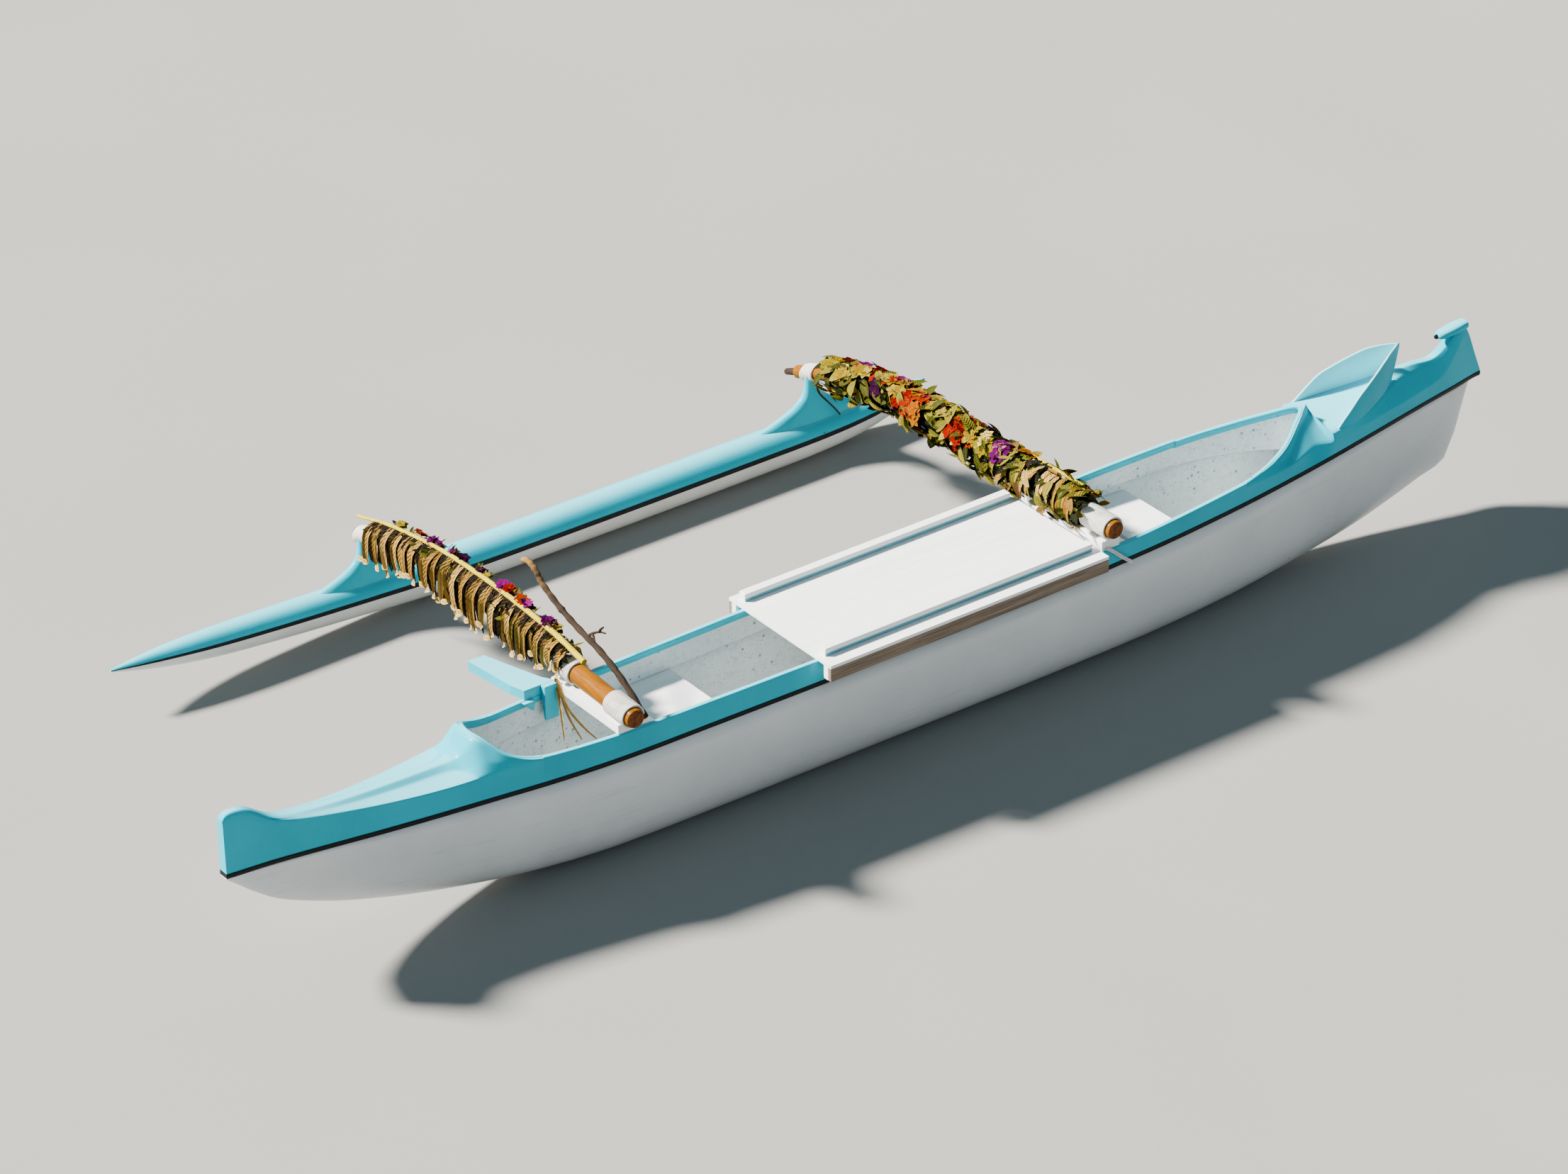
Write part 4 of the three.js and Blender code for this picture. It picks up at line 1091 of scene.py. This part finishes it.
def blossom(heap, origin, normal, size, tint):
    """Open flower of five or six cupped petals round a small heart."""
    count = choice((5, 6))
    start = uniform(0, 6.28)
    side = normal.orthogonal().normalized()

    def outward(angle):
        return side * cos(angle) + normal.cross(side) * sin(angle)

    for k in range(count):
        along = (outward(start + 2 * pi * k / count) + normal * uniform(0.25, 0.6)).normalized()
        blade(heap, origin, along, normal, size, size * 0.8, size * 0.25, 0.25, tint, 4)
    for k in range(5):
        out = outward(2.4 * k)
        blade(heap, origin + out * (size * 0.06), normal + out * 0.5, out, size * 0.24, size * 0.09, 0,
              0.3, YELLOW, 3)


def round_boom(y, angle, gap):
    """Point at a gap from a boom, and its outward direction."""
    out = Vector((cos(angle), 0, sin(angle)))
    return Vector((0, y, boom_z(y))) + out * (boom_r(y) + gap), out


GARLAND = (-112, 1592)  # from y to y
DRY_END = 420  # nearer the hull the garland is a wrapped frond
LEAVES, HULL_END_LEAVES = 820, 40
SCATTERED = 60  # single flowers between the clusters
CORE_GAP, BLOOM_GAP, SCATTER_GAP = 17, 42, 34  # from the boom
LEAF_GAPS = (17, 27, 37)  # from the boom, inner layer to outer
# Tint ranges by layer; the nearly black inner layer is painted shade in the gaps between leaves.
GREEN_TINTS = ((0.0, 0.1), (0.15, 0.55), (0.45, 0.88))
# Flower clusters on the fore boom: y, angle round the boom from the bow side, tint, flowers, spread
GARLAND_BLOOMS = [
    (1565, 100, YELLOW, 4, 30), (1500, 75, DARK_RED, 3, 26), (1440, 75, FLAME, 4, 40),
    (1430, 130, YELLOW, 5, 34), (1390, 80, PURPLE, 2, 20), (1330, 110, YELLOW, 5, 30),
    (1275, 65, DARK_RED, 4, 45), (1210, 140, PLUM, 4, 26), (1180, 100, YELLOW, 4, 26),
    (1120, 78, MAGENTA, 2, 22), (1130, 88, FLAME, 4, 40), (1080, 105, YELLOW, 5, 38),
    (1010, 135, RED, 8, 46), (950, 135, FLAME, 8, 46), (930, 68, PURPLE, 5, 28), (970, 98, YELLOW, 2, 18),
    (915, 165, ORANGE, 4, 32), (850, 105, YELLOW, 8, 46), (790, 100, YELLOW, 5, 40),
    (745, 92, YELLOW, 5, 32), (700, 110, FLAME, 6, 38), (660, 128, RED, 9, 42), (625, 100, DARK_RED, 4, 36),
    (575, 120, YELLOW, 6, 34), (548, 68, PURPLE, 2, 16), (520, 115, CREAM, 4, 30),
    (480, 125, YELLOW, 6, 40), (410, 112, MAGENTA, 3, 22), (395, 118, PURPLE, 5, 30),
    (300, 75, ORANGE, 3, 24),
]


def garland_leaves(leaves):
    """Three layers of leaves, the inner one nearly black, over a nearly black core: both painted shade
    between the leaves.
    """
    y0, y1 = GARLAND
    ys = spread(y0 + 8, y1 - 12, 24)
    radii = [boom_r(y) + CORE_GAP + 4 * sin(y / 19) for y in ys]
    # Nearly black core tube: painted shade under the leaves.
    tube(leaves, [(0, y, boom_z(y)) for y in ys], radii, 18, tint=0.02)
    for i in range(LEAVES):
        y, angle = draw(GARLAND, (0, 2 * pi))
        layer = i * 3 // LEAVES
        dry = y < DRY_END
        if dry and layer and random() < 0.4:
            continue
        origin, out = round_boom(y, angle, LEAF_GAPS[layer])
        around = Vector((-sin(angle), 0, cos(angle)))
        along = Vector((0, choice((-1, 1)), 0)) * uniform(0.1, 1) + around * uniform(-1, 1)
        along += out * uniform(0.0, 0.3)
        tint = uniform(*GREEN_TINTS[layer]) + (uniform(0.0, 0.16) if dry and layer else 0)
        length = uniform(58, 96)
        width, droop = length * uniform(0.36, 0.56), uniform(8, 26)
        blade(leaves, origin, along, out, length, width, droop, 0.4, min(1, tint),
              slot=1 if dry and i % 3 == 0 else 0)


def garland_wrap(leaves):
    """Leaflets of the wrapped frond, in pairs half way round the boom."""
    for start in spread(GARLAND[0] + 20, DRY_END, 42):
        for y, top in ((start, 70), (start + 17, 62)):
            sweep = uniform(130, 175)
            gap, drift = draw((36, 46), (-70, 70))
            points = []
            for k in range(11):
                spot = y + drift * k / 10
                rise = boom_r(y) - boom_r(spot) + gap - 0.5 * k
                points.append(round_boom(spot, radians(top + sweep * k / 10), rise)[0])
            width = uniform(16, 26)
            tint = uniform(0.55, 0.9) if y > 40 else choice((0.6, 0.95, 1.0))
            ribbon(leaves, points, width, tint, slot=1 if 40 < y < 200 else 0)


def garland_flowers(flowers):
    """Clusters seen in the photograph, then single flowers scattered between them."""
    end = GARLAND[1]
    for y, angle, tint, count, extent in GARLAND_BLOOMS:
        for _ in range(count):
            turn = radians(angle) + uniform(-1, 1) * extent / 80
            spot = min(end - 14, y + uniform(-extent, extent))
            origin, out = round_boom(spot, turn, boom_r(y) - boom_r(spot) + BLOOM_GAP)
            shade = min(1, max(0, tint + uniform(-0.035, 0.035)))
            blossom(flowers, origin, out, uniform(24, 38), shade)
    for _ in range(SCATTERED):
        origin, out = round_boom(*draw((DRY_END, end - 20), (0, 2 * pi)), SCATTER_GAP)
        blossom(flowers, origin, out, uniform(18, 28), choice((RED, FLAME, ORANGE, YELLOW, CREAM, PURPLE)))


def make_garland():
    """Leaves and flowers wound all round the fore boom, and a wrapped palm frond nearer the hull."""
    leaves, flowers, rib = Heap(), Heap(), Heap()
    garland_leaves(leaves)
    garland_wrap(leaves)
    garland_flowers(flowers)
    for _ in range(HULL_END_LEAVES):
        y, angle = draw((-118, -20), (0, 2 * pi))
        origin, out = round_boom(y, angle, boom_r(-90) - boom_r(y) + 22)
        along = Vector(draw((-0.6, 0.6), (-1, 0.4), (-0.6, 0.6)))
        blade(leaves, origin, along, out, uniform(40, 58), 24, 8, 0.4, uniform(0.86, 1.0))
    line = [round_boom(y, radians(60), 44)[0] for y in spread(-40, 330, 20)]
    tube(rib, line, [5 + 3.5 * k / len(line) for k in range(len(line))][::-1], 10, tint=0.4)
    place = boom_place("fore")
    show("garland_leaves", leaves, [GREEN, STRAW], ["leaf_wrap_fore"], place=place)
    show("garland_flowers", flowers, [PETALS], place=place)
    show("garland_rib", rib, [MIDRIB_SKIN], place=place)


# Flower clusters behind the frond's midrib: y, tint, flowers, size
FROND_BLOOMS = [
    (1450, YELLOW, 4, 24), (1305, FLAME, 4, 28), (1200, PURPLE, 4, 28), (1160, PLUM, 3, 26),
    (1050, MAGENTA, 3, 26), (990, PLUM, 4, 28), (835, PLUM, 3, 26), (815, YELLOW, 3, 24),
    (690, MAGENTA, 8, 36), (640, RED, 6, 32), (530, FLAME, 5, 30), (520, YELLOW, 3, 26),
    (500, MAGENTA, 4, 30), (350, PURPLE, 7, 34), (300, YELLOW, 4, 28),
]
# Leaflets: reach from the boom's middle, share of the way down, width, tint
# Nearly black leaflets under the pale ones: painted shade between them.
SHADE_LEAFLET = ((36, 43), (0.84, 0.97), (20, 30), (0.0, 0.08))
PALE_LEAFLET = ((48, 57), (0.82, 1.0), (13, 27), (0.64, 0.84))
SMALL_LEAFLET = ((44, 48), (0.7, 0.95), (12, 17), (0.4, 0.55))
SHADE_ROW, PALE_ROW = (158, 1642, 15), (175, 1640, 76)  # from y to y, spacing
PAIR_HALF = 11  # pale leaflets hang in pairs, this far each side of their middle
LITTER, END_LITTER = 220, 12


def hanging_leaflet(leaflets, y, side, reach, share, width, tint, fold_tip, turn=0.1):
    """Leaflet from the midrib over one side of the boom, its end folded up where fold_tip is set."""
    start = Vector((side * 6, y, midrib_z(y) - uniform(0, 6)))
    drop = (start.z - at(FRINGE_FOOT, 1, y)) * share
    lean, curl = draw((-30, 34), (-11, 11))
    points = []
    for t in (k / 9 for k in range(10)):
        swell = sin(min(1.0, t * 2.4) * pi / 2) - 0.8 * max(0.0, t - 0.72) ** 1.3
        points.append(start + Vector((side * reach * swell, lean * t + curl * sin(3 * t), -drop * t ** 1.2)))
    ribbon(leaflets, points, width, tint, (-side * turn, -0.83, 0))
    if fold_tip:
        tip = points[-1] + Vector((side * 3, 0, 4))
        along = Vector((side * 0.35, choice((-1, 1)) * uniform(0.5, 1), uniform(-0.15, 0.5)))
        blade(leaflets, tip, along, Vector((side, 0, 0.5)), uniform(30, 42), 24, 5, 0.3, uniform(0.9, 1.0), 4)


def make_fringe(leaflets):
    """Nearly black inner leaflets, painted shade in the gaps, with pale ones spaced out over them, on both
    sides of the boom.
    """
    for side in (-1, 1):
        for y in spread(*SHADE_ROW):
            hanging_leaflet(leaflets, y, side, *draw(*SHADE_LEAFLET), False)
        for y in spread(*PALE_ROW):
            spot = y + uniform(-12, 12)
            for shift in (-PAIR_HALF, PAIR_HALF):
                hanging_leaflet(leaflets, spot + shift, side, *draw(*PALE_LEAFLET), True, uniform(0.0, 0.9))
            if random() < 0.5:
                hanging_leaflet(leaflets, spot + 36, side, *draw(*SMALL_LEAFLET), random() < 0.5)


def frond_litter(litter):
    """Crumpled leaves between boom and midrib, and a few round the boom at the hull's end."""
    for _ in range(LITTER):
        y, share = uniform(165, 1640), random()
        z = boom_z(y) + 38 + share * max(midrib_z(y) - boom_z(y) - 52, 5)
        side = choice((-1, 1))
        origin = Vector((side * uniform(14, 36) * (1.1 - share * 0.6), y, z))
        along = Vector((side * 0.5, *draw((-1, 1), (-0.8, 0.3))))
        length = uniform(36, 60)
        blade(litter, origin, along, Vector((side, 0, 0.7)), length, length * 0.36, 10, 0.3,
              choice((0.05, 0.1, 0.2, 0.35, 0.6)))
    for _ in range(END_LITTER):
        y, angle, gap = draw((156, 190), (0.3, 3.6), (4, 16))
        origin, out = round_boom(y, angle, boom_r(130) - boom_r(y) + gap)
        along = Vector(draw((-0.6, 0.6), (-1, 0.6), (-0.7, 0.5)))
        blade(litter, origin, along, out, uniform(34, 60), 18, 8, 0.3, choice((0.2, 0.8, 0.95, 1.0)))


def frond_flowers(flowers, litter):
    for y, tint, count, size in FROND_BLOOMS:
        for _ in range(count):
            x, dy, dz, *facing = draw((12, 26), (-22, 22), (-4, 12), (-0.5, 0.5), (-0.4, 0.4))
            blossom(flowers, Vector((x, y + dy, midrib_z(y) + dz)), Vector((*facing, 1)).normalized(),
                    uniform(0.8, 1.1) * size, min(1, tint + uniform(0, 0.03)))
        for _ in range(5):
            x, dy, *along = draw((6, 28), (-60, 60), (0, 1), (-1, 1), (0.1, 0.9))
            origin = Vector((x, y + dy, midrib_z(y) - 4))
            blade(litter, origin, Vector(along), Vector((0, 0, 1)), uniform(30, 46), 15, 6, 0.3,
                  choice((0.2, 0.35, 0.6)))


def make_frond():
    """Dry palm frond over the aft boom: midrib, leaflets hanging on both sides, flowers along the top."""
    place = boom_place("aft")
    rib, leaflets, litter, flowers = Heap(), Heap(), Heap(), Heap()
    ys = spread(MIDRIB[0][0], MIDRIB[-1][0], 20)
    tube(rib, [(0, y, midrib_z(y)) for y in ys], [12.5 - 5.5 * k / len(ys) for k in range(len(ys))], tint=0.6)
    show("frond_rib", rib, [MIDRIB_SKIN], ["frond_midrib"], 60, place)
    make_fringe(leaflets)
    frond_litter(litter)
    frond_flowers(flowers, litter)
    show("frond_leaflets", leaflets, [STRAW], ["leaflet_fringe"], place=place)
    show("frond_litter", litter, [GREEN], ["leaf_bundle_aft"], place=place)
    show("frond_flowers", flowers, [PETALS], place=place)


# Straws hanging from the aft lashing into the cockpit
STRAWS = [
    [(-1628, 188, 672), (-1634, 172, 636), (-1652, 122, 560), (-1678, 64, 462)],
    [(-1627, 180, 668), (-1631, 158, 636), (-1630, 108, 540), (-1606, 52, 448)],
    [(-1627, 172, 666), (-1630, 150, 640), (-1626, 108, 566), (-1588, 60, 490), (-1548, 34, 438)],
]
# Twig from the fore boom's outer lashing down to the float
TWIG = [
    (742, 1676, 560), (738, 1674, 520), (752, 1672, 486), (790, 1674, 440), (832, 1680, 390),
    (866, 1686, 346),
]
# Side branch and two shoots of the pole, x from its own
SHOOTS = [
    [(0, 122, 842), (8, 96, 868), (22, 66, 884), (30, 34, 890)], [(8, 96, 868), (2, 76, 866), (-6, 58, 858)],
    [(22, 66, 884), (26, 60, 898), (34, 52, 908)],
]
GUSSET = [(-1786, 611), (-1727, 611), (-1738, 566)]  # x, z of the plate under the motor bracket


def make_loose_bits():
    """Straws, a twig, the pole's shoots and the gusset under the motor bracket."""
    straw = Heap()
    for points in STRAWS:
        ribbon(straw, smooth_path(points), 11, 0.84, (1, -0.5, 0))
    blade(straw, Vector((-1632, 176, 640)), Vector((0.1, -0.3, -1)), Vector((-1, 0, 0)), 62, 20, 6, 0.3, 0.12)
    show("straws", straw, [STRAW])
    twigs = Heap()
    for x0, points, thick, taper in ((0, TWIG, 5.5, 2), *((POLE_X, points, 7, 4) for points in SHOOTS)):
        line = smooth_path([(x0 + x, y, z) for x, y, z in points])
        tube(twigs, line, [thick - taper * k / len(line) for k in range(len(line))], 10)
    show("twigs", twigs, [PEG_BARK])
    rings = [[(x, y, z) for x, z in GUSSET] for y in (176, seam_half(-1755) - 26)]
    gusset = show("bracket_gusset", lofted(rings), [TURQUOISE], smooth=False)
    modify(gusset, "BEVEL", width=0.004, segments=3)


# Floor and light
FLOOR_HALF, FLOOR_DROP = 60, 0.0005  # metres
SKY, SKY_STRENGTH = (0.56, 0.83, 1.0, 1), 0.4
# Sun lamps: direction, strength, angle in degrees, colour
SUNS = {"key": ((0.56, -0.56, -0.61), 22.0, 7, (1.0, 0.97, 0.92)),
        "fill": ((-0.2, 0.8, -0.5), 0.25, 60, (0.85, 0.93, 1.0))}


def make_stage():
    mesh = bpy.data.meshes.new("floor")
    corners = ((-1, -1), (1, -1), (1, 1), (-1, 1))
    mesh.from_pydata([(x * FLOOR_HALF, y * FLOOR_HALF, FLOOR_Z - FLOOR_DROP) for x, y in corners], [],
                     [[0, 1, 2, 3]])
    floor = put("floor", mesh)
    paint = Paint("pale_floor", roughness=0.9)
    shade = paint.ramp(paint.noise(0.6, 2), [(0.3, (0.275, 0.267, 0.25)), (0.7, (0.287, 0.279, 0.262))])
    mesh.materials.append(paint.done(shade))
    world = bpy.data.worlds.new("studio")
    world.use_nodes = True
    sky = world.node_tree.nodes["Background"].inputs
    sky["Color"].default_value = SKY
    sky["Strength"].default_value = SKY_STRENGTH
    bpy.context.scene.world = world
    for name, (toward, energy, angle, tone) in SUNS.items():
        data = bpy.data.lights.new(name, "SUN")
        data.energy, data.angle, data.color = energy, radians(angle), tone
        light = put(name, data)
        light.rotation_mode = "QUATERNION"
        light.rotation_quaternion = Vector(toward).to_track_quat("-Z", "Y")


make_hull()
make_sides()
make_decks()
make_float()
make_booms()
make_lashings()
make_woodwork()
make_garland()
make_frond()
make_loose_bits()
make_stage()
